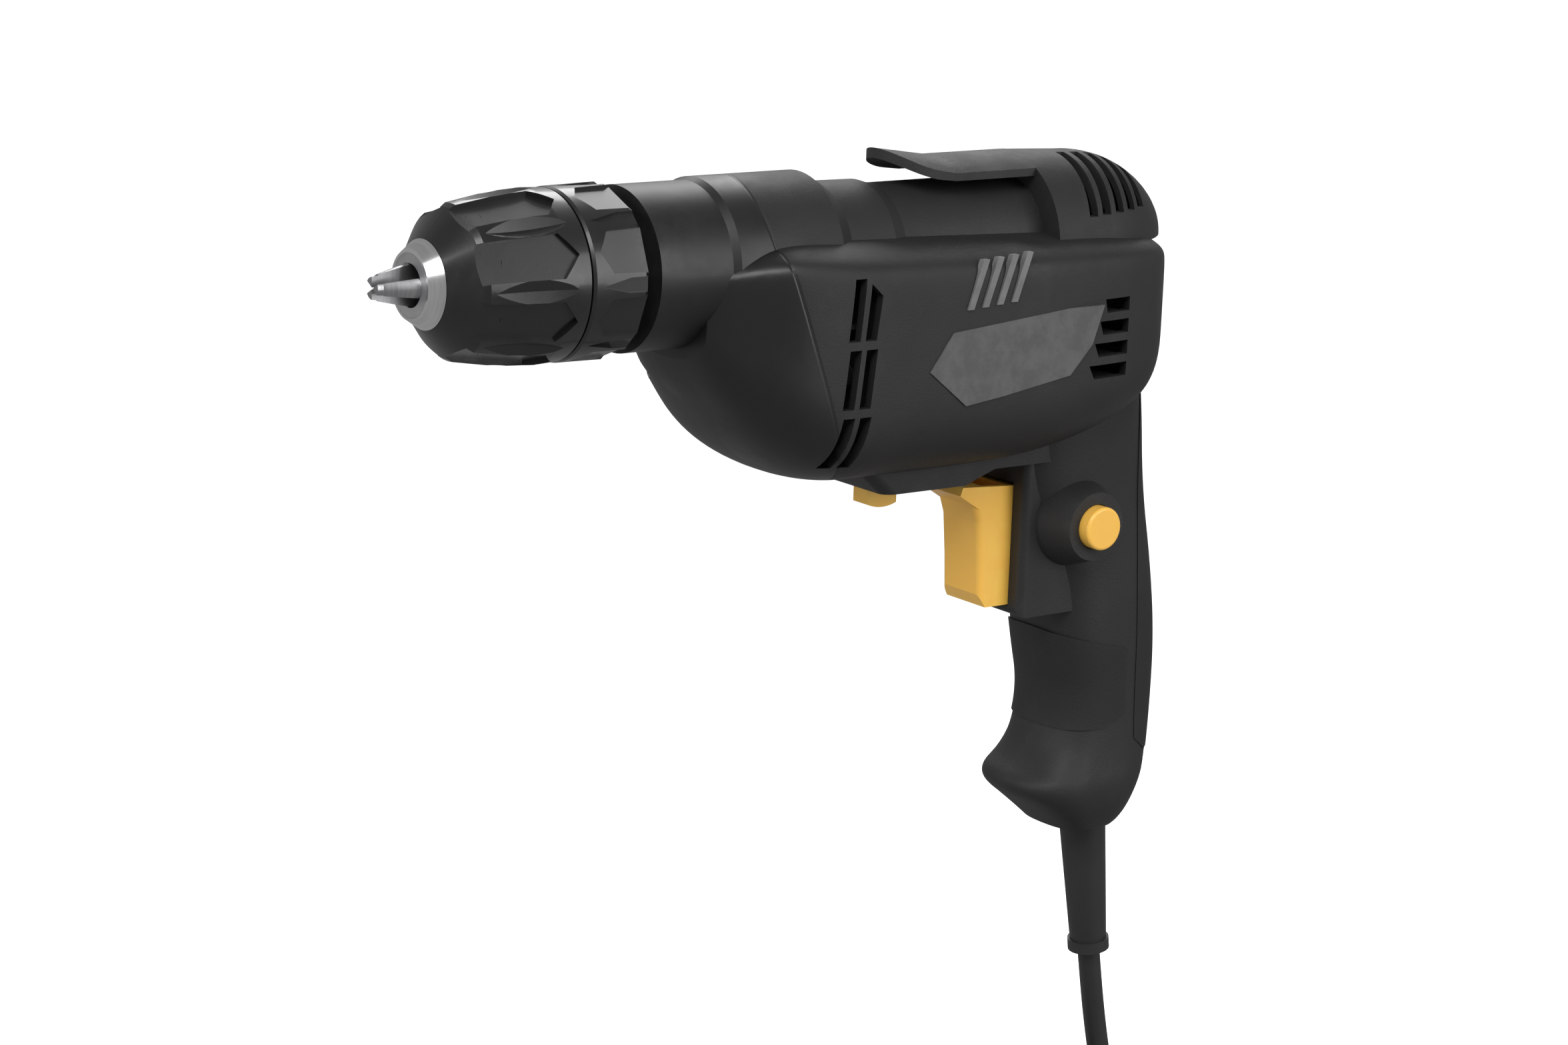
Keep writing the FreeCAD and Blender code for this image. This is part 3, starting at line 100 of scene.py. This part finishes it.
class DrillCord(bpy.types.PropertyGroup):
    """Sizes of the mains cord."""

    diameter: bpy.props.FloatProperty(
        name="Diameter", description="Outside diameter of the cord", default=6.2 * MM, min=3 * MM,
        max=12 * MM, unit="LENGTH", precision=4)
    coil_radius: bpy.props.FloatProperty(
        name="Coil radius", description="Middle radius of the wound cord", default=37.0 * MM, min=20 * MM,
        max=60 * MM, unit="LENGTH", precision=4)
    turns: bpy.props.IntProperty(
        name="Turns", description="Number of turns in the coil", default=7, min=1, max=7)


class DrillStudio(bpy.types.PropertyGroup):
    """Studio light and camera."""

    key_power: bpy.props.FloatProperty(
        name="Key light", description="Power of the large light", default=13.0, min=0, max=500, unit="POWER")
    backdrop: bpy.props.FloatProperty(
        name="Backdrop", description="Brightness of the white backdrop", default=1.0, min=0, max=5,
        subtype="FACTOR")
    lens: bpy.props.FloatProperty(
        name="Lens", description="Focal length of the camera", default=88.24, min=10, max=300, unit="CAMERA")


def finish_settings():
    return bpy.context.scene.drill_finish


# ---------------------------------------------------------------- node groups


def new_group(name, inputs, outputs):
    """An empty shader node group with named sockets; returns it with its input and output nodes."""
    group = bpy.data.node_groups.new(name, "ShaderNodeTree")
    for label, kind, value in inputs:
        socket = group.interface.new_socket(name=label, in_out="INPUT", socket_type=kind)
        if value is not None:
            socket.default_value = value
    for label, kind in outputs:
        group.interface.new_socket(name=label, in_out="OUTPUT", socket_type=kind)
    return group, group.nodes.new("NodeGroupInput"), group.nodes.new("NodeGroupOutput")


def math_node(tree, operation, first, second=None, clamp=False):
    """A Math node; each operand is a socket or a number."""
    node = tree.nodes.new("ShaderNodeMath")
    node.operation = operation
    node.use_clamp = clamp
    for place, value in enumerate((first, second)):
        if value is None:
            continue
        if isinstance(value, bpy.types.NodeSocket):
            tree.links.new(value, node.inputs[place])
        else:
            node.inputs[place].default_value = value
    return node.outputs[0]


def noise_node(tree, vector, scale, detail=2.0, roughness=0.5):
    node = tree.nodes.new("ShaderNodeTexNoise")
    tree.links.new(vector, node.inputs["Vector"])
    if isinstance(scale, bpy.types.NodeSocket):
        tree.links.new(scale, node.inputs["Scale"])
    else:
        node.inputs["Scale"].default_value = scale
    node.inputs["Detail"].default_value = detail
    node.inputs["Roughness"].default_value = roughness
    return node.outputs["Fac"]


def ramp_node(tree, value, low, high, start=0.0, end=1.0):
    """A smooth step from start to end as value goes from low to high."""
    node = tree.nodes.new("ShaderNodeMapRange")
    node.interpolation_type = "SMOOTHSTEP"
    tree.links.new(value, node.inputs["Value"])
    for label, number in (("From Min", low), ("From Max", high), ("To Min", start), ("To Max", end)):
        if isinstance(number, bpy.types.NodeSocket):
            tree.links.new(number, node.inputs[label])
        else:
            node.inputs[label].default_value = number
    return node.outputs["Result"]


def mix_color(tree, factor, first, second):
    node = tree.nodes.new("ShaderNodeMix")
    node.data_type = "RGBA"
    if isinstance(factor, bpy.types.NodeSocket):
        tree.links.new(factor, node.inputs["Factor"])
    else:
        node.inputs["Factor"].default_value = factor
    for label, value in (("A", first), ("B", second)):
        socket = [s for s in node.inputs if s.name == label and s.type == "RGBA"][0]
        if isinstance(value, bpy.types.NodeSocket):
            tree.links.new(value, socket)
        else:
            socket.default_value = value
    return [s for s in node.outputs if s.type == "RGBA"][0]


def build_grain_group():
    """Moulded grain: small rounded bumps of one size with slow variation between them."""
    group, entry, leave = new_group(
        "Moulded Grain",
        (("Vector", "NodeSocketVector", None), ("Scale", "NodeSocketFloat", 2000.0)),
        (("Height", "NodeSocketFloat"), ("Mask", "NodeSocketFloat")))
    cells = group.nodes.new("ShaderNodeTexVoronoi")
    cells.feature = "SMOOTH_F1"
    group.links.new(entry.outputs["Vector"], cells.inputs["Vector"])
    group.links.new(entry.outputs["Scale"], cells.inputs["Scale"])
    fine = noise_node(group, entry.outputs["Vector"], entry.outputs["Scale"], 3.0, 0.6)
    bumps = math_node(group, "SUBTRACT", 1.0, cells.outputs["Distance"])
    height = math_node(group, "ADD", math_node(group, "MULTIPLY", bumps, 0.6),
                       math_node(group, "MULTIPLY", fine, 0.7))
    group.links.new(height, leave.inputs["Height"])
    slow = noise_node(group, entry.outputs["Vector"], 55.0, 3.0, 0.55)
    group.links.new(ramp_node(group, slow, 0.3, 0.7), leave.inputs["Mask"])
    return group


def build_wear_group():
    """Handling marks: a mask of worn, rubbed edges and a mask of smudges on the faces."""
    group, entry, leave = new_group(
        "Handling Marks",
        (("Vector", "NodeSocketVector", None), ("Edge", "NodeSocketFloat", 0.5)),
        (("Edges", "NodeSocketFloat"), ("Smudges", "NodeSocketFloat")))
    shape = group.nodes.new("ShaderNodeNewGeometry")
    pointed = ramp_node(group, shape.outputs["Pointiness"], 0.52, 0.60)
    patch = ramp_node(group, noise_node(group, entry.outputs["Vector"], 160.0, 4.0, 0.7), 0.35, 0.65)
    patchy = math_node(group, "MULTIPLY", pointed, patch)
    rubbed = math_node(group, "MULTIPLY", patchy, entry.outputs["Edge"], True)
    group.links.new(rubbed, leave.inputs["Edges"])
    smear = noise_node(group, entry.outputs["Vector"], 38.0, 5.0, 0.62)
    group.links.new(ramp_node(group, smear, 0.42, 0.68), leave.inputs["Smudges"])
    return group


def build_turned_group():
    """Fine tool marks left round a turned or ground piece, as rings along X."""
    group, entry, leave = new_group(
        "Turned Marks",
        (("Vector", "NodeSocketVector", None), ("Scale", "NodeSocketFloat", 900.0)),
        (("Height", "NodeSocketFloat"), ("Mask", "NodeSocketFloat")))
    spread = group.nodes.new("ShaderNodeMapping")
    spread.inputs["Scale"].default_value = (1.0, 0.06, 0.06)
    group.links.new(entry.outputs["Vector"], spread.inputs["Vector"])
    marks = noise_node(group, spread.outputs["Vector"], entry.outputs["Scale"], 4.0, 0.6)
    group.links.new(marks, leave.inputs["Height"])
    group.links.new(ramp_node(group, marks, 0.35, 0.65), leave.inputs["Mask"])
    return group


# The leaning plane where the smooth front of the housing ends.
FRONT_LEAN_UP = 0.336
FRONT_LEAN_OUT = 0.247
FRONT_PLACE = 72.6 * MM


def build_front_group():
    """Mask of the smooth front of the housing and the fine groove where it meets the textured side."""
    group, entry, leave = new_group(
        "Smooth Front",
        (("Vector", "NodeSocketVector", None),),
        (("Smooth", "NodeSocketFloat"), ("Groove", "NodeSocketFloat")))
    split = group.nodes.new("ShaderNodeSeparateXYZ")
    group.links.new(entry.outputs["Vector"], split.inputs["Vector"])
    side = math_node(group, "ABSOLUTE", split.outputs["Y"])
    place = math_node(group, "ADD", split.outputs["X"],
                      math_node(group, "MULTIPLY", split.outputs["Z"], FRONT_LEAN_UP))
    place = math_node(group, "ADD", place, math_node(group, "MULTIPLY", side, FRONT_LEAN_OUT))
    place = math_node(group, "ADD", place, FRONT_PLACE)
    group.links.new(ramp_node(group, place, -0.25 * MM, 0.25 * MM, 1.0, 0.0), leave.inputs["Smooth"])
    near = math_node(group, "ABSOLUTE", place)
    group.links.new(ramp_node(group, near, 0.15 * MM, 0.7 * MM, 1.0, 0.0), leave.inputs["Groove"])
    return group


def shared_group(name, build):
    return bpy.data.node_groups.get(name) or build()


# ---------------------------------------------------------------- materials


def start_material(name):
    """A material with only its Principled shader and object coordinates."""
    material = bpy.data.materials.new(name)
    material.use_nodes = True
    tree = material.node_tree
    tree.nodes.clear()
    shader = tree.nodes.new("ShaderNodeBsdfPrincipled")
    output = tree.nodes.new("ShaderNodeOutputMaterial")
    tree.links.new(shader.outputs["BSDF"], output.inputs["Surface"])
    place = tree.nodes.new("ShaderNodeTexCoord")
    return material, tree, shader, place.outputs["Object"]


def add_group(tree, group, vector, **values):
    node = tree.nodes.new("ShaderNodeGroup")
    node.node_tree = group
    tree.links.new(vector, node.inputs["Vector"])
    for label, value in values.items():
        node.inputs[label].default_value = value
    return node


def add_bump(tree, shader, height, distance, strength=1.0):
    bump = tree.nodes.new("ShaderNodeBump")
    bump.inputs["Strength"].default_value = strength
    bump.inputs["Distance"].default_value = distance
    tree.links.new(height, bump.inputs["Height"])
    tree.links.new(bump.outputs["Normal"], shader.inputs["Normal"])
    return bump


def opaque(color):
    return (color[0], color[1], color[2], 1.0)


def lighter(color, factor):
    return tuple(min(1.0, channel * factor) for channel in color)


def plastic(name, color, rough, grain, depth, edge=0.4, coat=0.0, spread=0.25):
    """A moulded plastic: grain, slow colour drift, smudges in its gloss and rubbed edges."""
    material, tree, shader, vector = start_material(name)
    texture = add_group(tree, shared_group("Moulded Grain", build_grain_group), vector, Scale=1.0 / grain)
    marks = add_group(tree, shared_group("Handling Marks", build_wear_group), vector, Edge=edge)
    drift = mix_color(tree, texture.outputs["Mask"], opaque(lighter(color, 1 - spread / 2)),
                      opaque(lighter(color, 1 + spread / 2)))
    worn = mix_color(tree, marks.outputs["Edges"], drift, opaque(lighter(color, 2.2)))
    tree.links.new(worn, shader.inputs["Base Color"])
    gloss = ramp_node(tree, marks.outputs["Smudges"], 0.0, 1.0, rough + 0.05, max(0.05, rough - 0.07))
    tree.links.new(gloss, shader.inputs["Roughness"])
    add_bump(tree, shader, texture.outputs["Height"], depth)
    shader.inputs["Coat Weight"].default_value = coat
    shader.inputs["Coat Roughness"].default_value = 0.12
    return material


SMOOTH_GRAIN = 0.06
GROOVE_DEPTH = 2.0
# Painted shade: the colour of the fine groove line, darker than the shell, standing in for the shade inside
# the groove.
GROOVE_PAINTED_SHADE = (0.006, 0.006, 0.006, 1.0)


def shell_plastic():
    """Housing plastic: textured, but smooth and glossier over the front, with painted shade in the groove
    between the two.
    """
    props = finish_settings()
    material, tree, shader, vector = start_material("shell plastic")
    texture = add_group(tree, shared_group("Moulded Grain", build_grain_group), vector,
                        Scale=1.0 / props.grain)
    marks = add_group(tree, shared_group("Handling Marks", build_wear_group), vector, Edge=0.35)
    front = add_group(tree, shared_group("Smooth Front", build_front_group), vector)
    smooth = front.outputs["Smooth"]
    drift = mix_color(tree, texture.outputs["Mask"], opaque(lighter(props.shell_color, 0.88)),
                      opaque(lighter(props.shell_color, 1.14)))
    both = mix_color(tree, smooth, drift, opaque(props.smooth_color))
    worn = mix_color(tree, marks.outputs["Edges"], both, opaque(lighter(props.shell_color, 2.4)))
    # The groove line gets painted shade in its colour, besides the dent that the bump gives it.
    groove_shaded_color = mix_color(tree, front.outputs["Groove"], worn, GROOVE_PAINTED_SHADE)
    tree.links.new(groove_shaded_color, shader.inputs["Base Color"])
    dull = ramp_node(tree, marks.outputs["Smudges"], 0.0, 1.0, 0.62, 0.54)
    bright = ramp_node(tree, marks.outputs["Smudges"], 0.0, 1.0, 0.46, 0.38)
    keep = math_node(tree, "SUBTRACT", 1.0, smooth)
    gloss = math_node(tree, "ADD", math_node(tree, "MULTIPLY", dull, keep),
                      math_node(tree, "MULTIPLY", bright, smooth))
    tree.links.new(gloss, shader.inputs["Roughness"])
    left_over = math_node(tree, "MAXIMUM", keep, SMOOTH_GRAIN)
    rough_height = math_node(tree, "MULTIPLY", texture.outputs["Height"], left_over)
    groove = math_node(tree, "MULTIPLY", front.outputs["Groove"], GROOVE_DEPTH)
    height = math_node(tree, "SUBTRACT", rough_height, groove)
    add_bump(tree, shader, height, props.grain_depth)
    return material


def metal(name, color, rough, scale=900.0, depth=0.004 * MM, metallic=1.0):
    """A turned or ground metal with fine marks in its gloss."""
    material, tree, shader, vector = start_material(name)
    turned = add_group(tree, shared_group("Turned Marks", build_turned_group), vector, Scale=scale)
    marks = add_group(tree, shared_group("Handling Marks", build_wear_group), vector, Edge=0.2)
    tint = mix_color(tree, turned.outputs["Mask"], opaque(lighter(color, 0.86)), opaque(lighter(color, 1.08)))
    tree.links.new(tint, shader.inputs["Base Color"])
    gloss = ramp_node(tree, marks.outputs["Smudges"], 0.0, 1.0, rough, rough + 0.09)
    tree.links.new(gloss, shader.inputs["Roughness"])
    shader.inputs["Metallic"].default_value = metallic
    add_bump(tree, shader, turned.outputs["Height"], depth)
    return material


def wound(name, color, wire):
    """Varnished wire laid side by side along X, with painted shade darkening each wire towards the crevices
    between wires.
    """
    material, tree, shader, vector = start_material(name)
    strands = tree.nodes.new("ShaderNodeTexWave")
    strands.wave_type = "BANDS"
    strands.bands_direction = "Z"
    strands.inputs["Scale"].default_value = 0.314 / wire
    strands.inputs["Distortion"].default_value = 1.2
    strands.inputs["Detail"].default_value = 1.0
    tree.links.new(vector, strands.inputs["Vector"])
    # Painted shade: the colour drops to under half between the wires, where the crevices would be in shade.
    tint = mix_color(tree, strands.outputs["Fac"], opaque(lighter(color, 0.45)), opaque(color))
    tree.links.new(tint, shader.inputs["Base Color"])
    shader.inputs["Metallic"].default_value = 0.7
    gloss = ramp_node(tree, strands.outputs["Fac"], 0.0, 1.0, 0.5, 0.3)
    tree.links.new(gloss, shader.inputs["Roughness"])
    add_bump(tree, shader, strands.outputs["Fac"], wire * 0.5)
    return material


def stacked(name, color, sheet):
    """A stack of thin oiled steel sheets, their edges across X."""
    material, tree, shader, vector = start_material(name)
    sheets = tree.nodes.new("ShaderNodeTexWave")
    sheets.wave_type = "BANDS"
    sheets.bands_direction = "X"
    sheets.inputs["Scale"].default_value = 0.314 / sheet
    sheets.inputs["Distortion"].default_value = 0.3
    tree.links.new(vector, sheets.inputs["Vector"])
    tint = mix_color(tree, sheets.outputs["Fac"], opaque(lighter(color, 0.5)), opaque(color))
    tree.links.new(tint, shader.inputs["Base Color"])
    shader.inputs["Metallic"].default_value = 0.85
    gloss = ramp_node(tree, noise_node(tree, vector, 120.0), 0.3, 0.7, 0.38, 0.55)
    tree.links.new(gloss, shader.inputs["Roughness"])
    add_bump(tree, shader, sheets.outputs["Fac"], sheet * 0.2)
    return material


def build_materials():
    """One material for each slot of the record."""
    props = finish_settings()
    black = tuple(props.smooth_color)
    return {
        "housing_plastic": shell_plastic(),
        "soft_grip": plastic("soft grip", tuple(props.soft_color), 0.68, 0.6 * MM, 0.07 * MM, 0.25),
        "badge_grey": plastic("badge grey", tuple(props.badge_color), 0.42, 0.25 * MM, 0.012 * MM, 0.3,
                              spread=0.06),
        "accent_grey": plastic("accent grey", tuple(props.accent_color), 0.45, 0.3 * MM, 0.01 * MM, 0.2),
        "amber_plastic": plastic("amber plastic", tuple(props.amber_color), 0.36, 0.3 * MM, 0.010 * MM, 0.1,
                                 coat=0.25, spread=0.06),
        "chuck_plastic": plastic("chuck plastic", black, 0.3, 0.35 * MM, 0.006 * MM, 0.35, coat=0.3),
        "bright_chrome": metal("bright chrome", (0.80, 0.80, 0.81), 0.1, 600.0, 0.0008 * MM),
        "jaw_steel": metal("jaw steel", (0.42, 0.42, 0.43), 0.3, 1400.0, 0.003 * MM),
        "plain_steel": metal("plain steel", (0.52, 0.52, 0.53), 0.32, 900.0, 0.003 * MM),
        "stack_steel": stacked("stack steel", (0.24, 0.24, 0.25), 0.5 * MM),
        "winding_copper": wound("winding copper", (0.62, 0.24, 0.09), 0.5 * MM),
        "commutator_copper": metal("commutator copper", (0.83, 0.44, 0.25), 0.28, 1200.0, 0.003 * MM),
        "bush_bronze": metal("bush bronze", (0.58, 0.40, 0.18), 0.42, 700.0, 0.004 * MM),
        "white_plastic": plastic("white plastic", (0.72, 0.71, 0.68), 0.45, 0.3 * MM, 0.01 * MM, 0.05,
                                 spread=0.08),
        "carbon_black": plastic("carbon black", (0.014, 0.014, 0.015), 0.5, 0.15 * MM, 0.02 * MM, 0.2),
        "switch_black": plastic("switch black", (0.028, 0.028, 0.031), 0.42, 0.3 * MM, 0.012 * MM, 0.3),
        "cord_rubber": plastic("cord rubber", (0.017, 0.017, 0.018), 0.5, 0.4 * MM, 0.014 * MM, 0.1),
    }


# ---------------------------------------------------------------- pieces


# The cord's middle line in mm, x and z: from the strain relief to the coil, and from the coil to the plug.
ROUTE = ((21.05, -108.17), (22.9, -120.0), (25.6, -134.0), (29.2, -149.0), (33.2, -165.0))
LEAD = ((39.4, -200.0), (37.6, -213.0), (36.0, -226.0))
# The tied coil: seven strands round one, with the crossings from strand to strand on its far side.
COIL_CENTRE = Vector((-3.8, 0.0, -187.5)) * MM
POINTS_PER_TURN = 16
OUTER_STRANDS = 7
STRAND_REACH = 7.15 * MM
CROSSING_START = 0.3
CROSSING_SHARE = 0.4
SIDE_IN = 2.0 * MM
SIDE_OUT = 2.4 * MM


def deselect_all():
    for thing in bpy.context.selected_objects:
        thing.select_set(False)


def coil_places():
    """Places of the strands in the wound bundle: seven round one, entering and leaving on the outside."""
    angles = [math.radians(360 / OUTER_STRANDS * (place + 0.5)) for place in range(OUTER_STRANDS)]
    places = [Vector((STRAND_REACH * math.cos(angle), STRAND_REACH * math.sin(angle))) for angle in angles]
    return places[:4] + [Vector((0.0, 0.0))] + places[4:]


def coil_points(radius, turns):
    """Points of the wound cord: each turn lies in its own place and moves to the next on the far side."""
    places = coil_places()
    points = []
    for step in range(turns * POINTS_PER_TURN + 1):
        turn = step / POINTS_PER_TURN
        start = min(int(turn), turns - 1)
        share = min(1.0, max(0.0, (turn - start - CROSSING_START) / CROSSING_SHARE))
        share = share * share * (3 - 2 * share)
        offset = places[start].lerp(places[start + 1], share)
        angle = 2 * math.pi * turn
        reach = radius + offset.x
        points.append(COIL_CENTRE + Vector((reach * math.cos(angle), offset.y, -reach * math.sin(angle))))
    return points


def make_spline(name, points, thickness):
    """A round cord along a smooth line that the points pull into place."""
    curve = bpy.data.curves.new(name, "CURVE")
    curve.dimensions = "3D"
    curve.bevel_depth = thickness / 2
    curve.bevel_resolution = 5
    curve.resolution_u = 6
    curve.use_fill_caps = True
    spline = curve.splines.new("NURBS")
    spline.points.add(len(points) - 1)
    for point, place in zip(spline.points, points):
        point.co = (place.x, place.y, place.z, 1.0)
    spline.order_u = 3
    spline.use_endpoint_u = True
    piece = bpy.data.objects.new(name, curve)
    bpy.context.scene.collection.objects.link(piece)
    return piece


class DRILL_OT_cord(bpy.types.Operator):
    """Lay the mains cord from the strain relief through its tied coil to the plug."""

    bl_idname = "drill.cord"
    bl_label = "Mains cord"

    def execute(self, context):
        props = context.scene.drill_cord
        points = [Vector((x, 0.0, z)) * MM for x, z in ROUTE]
        points[-1].y += SIDE_IN
        points += coil_points(props.coil_radius, props.turns)
        points += [Vector((x, 0.0, z)) * MM for x, z in LEAD]
        points[-3].y -= SIDE_OUT
        piece = make_spline("mains_cord", points, props.diameter)
        piece.data.materials.append(bpy.data.materials["cord rubber"])
        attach(piece, "housing")
        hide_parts("cord", "cord_coil", "plug_lead")
        return {"FINISHED"}


class DRILL_OT_springs(bpy.types.Operator):
    """Copy the springs behind the trigger and the lock button into pieces of their own and hide the
    originals.
    """

    bl_idname = "drill.springs"
    bl_label = "Springs"

    def execute(self, context):
        for name, body in (("trigger_spring", "trigger"), ("lock_spring", "lock_button")):
            low, high = (Vector(corner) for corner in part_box(name))
            middle = (low + high) / 2
            moving = middle.copy()
            fixed = middle.copy()
            along = 0 if body == "trigger" else 1
            moving[along] = low[along]
            fixed[along] = high[along]
            piece = bpy.data.objects.new(name + "_coil", NODES[name].data.copy())
            context.scene.collection.objects.link(piece)
            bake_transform(piece)
            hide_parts(name)
        return {"FINISHED"}


class DRILL_OT_materials(bpy.types.Operator):
    """Give every piece of the drill its finish."""

    bl_idname = "drill.materials"
    bl_label = "Finishes"

    def execute(self, context):
        materials = build_materials()
        for name, node in NODES.items():
            node.data.materials.clear()
            node.data.materials.append(materials[SLOTS[name]])
        return {"FINISHED"}


# ---------------------------------------------------------------- studio


CAMERA_PLACE = Vector((-663.77, -764.71, 246.62)) * MM
CAMERA_YAW = 0.643
CAMERA_PITCH = 0.227
CAMERA_ROLL = 0.037
ROOM_LIGHT = 0.30
FLOOR_SIZE = 60.0
FLOOR_HEIGHT = -0.45


def add_area(name, place, aim, power, width, height):
    """A rectangular light at a place, turned towards its aim."""
    light = bpy.data.lights.new(name, "AREA")
    light.shape = "RECTANGLE"
    light.size = width
    light.size_y = height
    light.energy = power
    lamp = bpy.data.objects.new(name, light)
    lamp.location = place
    lamp.rotation_euler = (Vector(aim) - Vector(place)).to_track_quat("-Z", "Y").to_euler()
    bpy.context.scene.collection.objects.link(lamp)


class DRILL_OT_studio(bpy.types.Operator):
    """Set up the white studio, its lights and the camera."""

    bl_idname = "drill.studio"
    bl_label = "Studio"

    def execute(self, context):
        props = context.scene.drill_studio
        scene = context.scene
        forward = Vector((
            math.sin(CAMERA_YAW) * math.cos(CAMERA_PITCH),
            math.cos(CAMERA_YAW) * math.cos(CAMERA_PITCH),
            -math.sin(CAMERA_PITCH)))
        level = Vector((math.cos(CAMERA_YAW), -math.sin(CAMERA_YAW), 0.0))
        upright = level.cross(forward)
        right = level * math.cos(CAMERA_ROLL) + upright * math.sin(CAMERA_ROLL)
        above = upright * math.cos(CAMERA_ROLL) - level * math.sin(CAMERA_ROLL)
        data = bpy.data.cameras.new("studio camera")
        data.lens = props.lens
        data.sensor_width = 36.0
        data.sensor_fit = "HORIZONTAL"
        data.clip_start = 0.05
        data.clip_end = 200.0
        camera = bpy.data.objects.new("studio_camera", data)
        camera.matrix_world = Matrix((
            (right.x, above.x, -forward.x, CAMERA_PLACE.x),
            (right.y, above.y, -forward.y, CAMERA_PLACE.y),
            (right.z, above.z, -forward.z, CAMERA_PLACE.z),
            (0.0, 0.0, 0.0, 1.0)))
        scene.collection.objects.link(camera)
        scene.camera = camera

        world = bpy.data.worlds.new("studio")
        scene.world = world
        world.use_nodes = True
        tree = world.node_tree
        tree.nodes.clear()
        seen = tree.nodes.new("ShaderNodeLightPath")
        white = tree.nodes.new("ShaderNodeBackground")
        white.inputs["Color"].default_value = (1.0, 1.0, 1.0, 1.0)
        white.inputs["Strength"].default_value = props.backdrop
        room = tree.nodes.new("ShaderNodeBackground")
        room.inputs["Color"].default_value = (1.0, 1.0, 1.0, 1.0)
        room.inputs["Strength"].default_value = ROOM_LIGHT
        mix = tree.nodes.new("ShaderNodeMixShader")
        output = tree.nodes.new("ShaderNodeOutputWorld")
        tree.links.new(seen.outputs["Is Camera Ray"], mix.inputs["Fac"])
        tree.links.new(room.outputs["Background"], mix.inputs[1])
        tree.links.new(white.outputs["Background"], mix.inputs[2])
        tree.links.new(mix.outputs["Shader"], output.inputs["Surface"])

        aim = (-0.07, 0.0, 0.04)
        add_area("key_light", (-0.75, -0.75, 1.05), aim, props.key_power, 0.9, 0.7)
        add_area("side_light", (0.45, -1.1, 0.35), aim, props.key_power * 0.5, 0.8, 0.8)
        add_area("front_light", (-1.3, 0.2, 0.35), aim, props.key_power * 0.4, 0.6, 0.9)
        add_area("back_light", (0.6, 0.9, 0.9), aim, props.key_power * 0.6, 0.9, 0.5)

        deselect_all()
        bpy.ops.mesh.primitive_plane_add(size=FLOOR_SIZE, location=(0.0, 0.0, FLOOR_HEIGHT))
        floor = context.active_object
        floor.name = "studio_floor"
        bpy.ops.object.transform_apply(location=True)
        material, tree, shader, vector = start_material("studio floor")
        shader.inputs["Base Color"].default_value = (0.95, 0.95, 0.95, 1.0)
        shader.inputs["Roughness"].default_value = 0.9
        shader.inputs["Emission Color"].default_value = (1.0, 1.0, 1.0, 1.0)
        shader.inputs["Emission Strength"].default_value = 0.85
        floor.data.materials.append(material)
        floor.visible_diffuse = False
        floor.visible_glossy = False
        scene.view_settings.view_transform = "Standard"
        return {"FINISHED"}


class DRILL_PT_panel(bpy.types.Panel):
    """Lists the steps that finish the drill."""

    bl_idname = "DRILL_PT_panel"
    bl_label = "Drill"
    bl_space_type = "VIEW_3D"
    bl_region_type = "UI"
    bl_category = "Drill"

    def draw(self, context):
        layout = self.layout
        scene = context.scene
        for group in (scene.drill_finish, scene.drill_cord, scene.drill_studio):
            box = layout.box()
            for prop in group.bl_rna.properties:
                if prop.identifier not in ("rna_type", "name"):
                    box.prop(group, prop.identifier)
        for step in STEPS:
            layout.operator(step.bl_idname)


STEPS = (DRILL_OT_studio, DRILL_OT_materials, DRILL_OT_cord, DRILL_OT_springs)
CLASSES = (DrillFinish, DrillCord, DrillStudio) + STEPS + (DRILL_PT_panel,)


def register():
    for cls in CLASSES:
        bpy.utils.register_class(cls)
    bpy.types.Scene.drill_finish = bpy.props.PointerProperty(type=DrillFinish)
    bpy.types.Scene.drill_cord = bpy.props.PointerProperty(type=DrillCord)
    bpy.types.Scene.drill_studio = bpy.props.PointerProperty(type=DrillStudio)


def unregister():
    del bpy.types.Scene.drill_finish
    del bpy.types.Scene.drill_cord
    del bpy.types.Scene.drill_studio
    for cls in reversed(CLASSES):
        bpy.utils.unregister_class(cls)


def main():
    register()
    bpy.ops.drill.studio()
    bpy.ops.drill.materials()
    bpy.ops.drill.cord()
    bpy.ops.drill.springs()


if __name__ == "__main__":
    main()
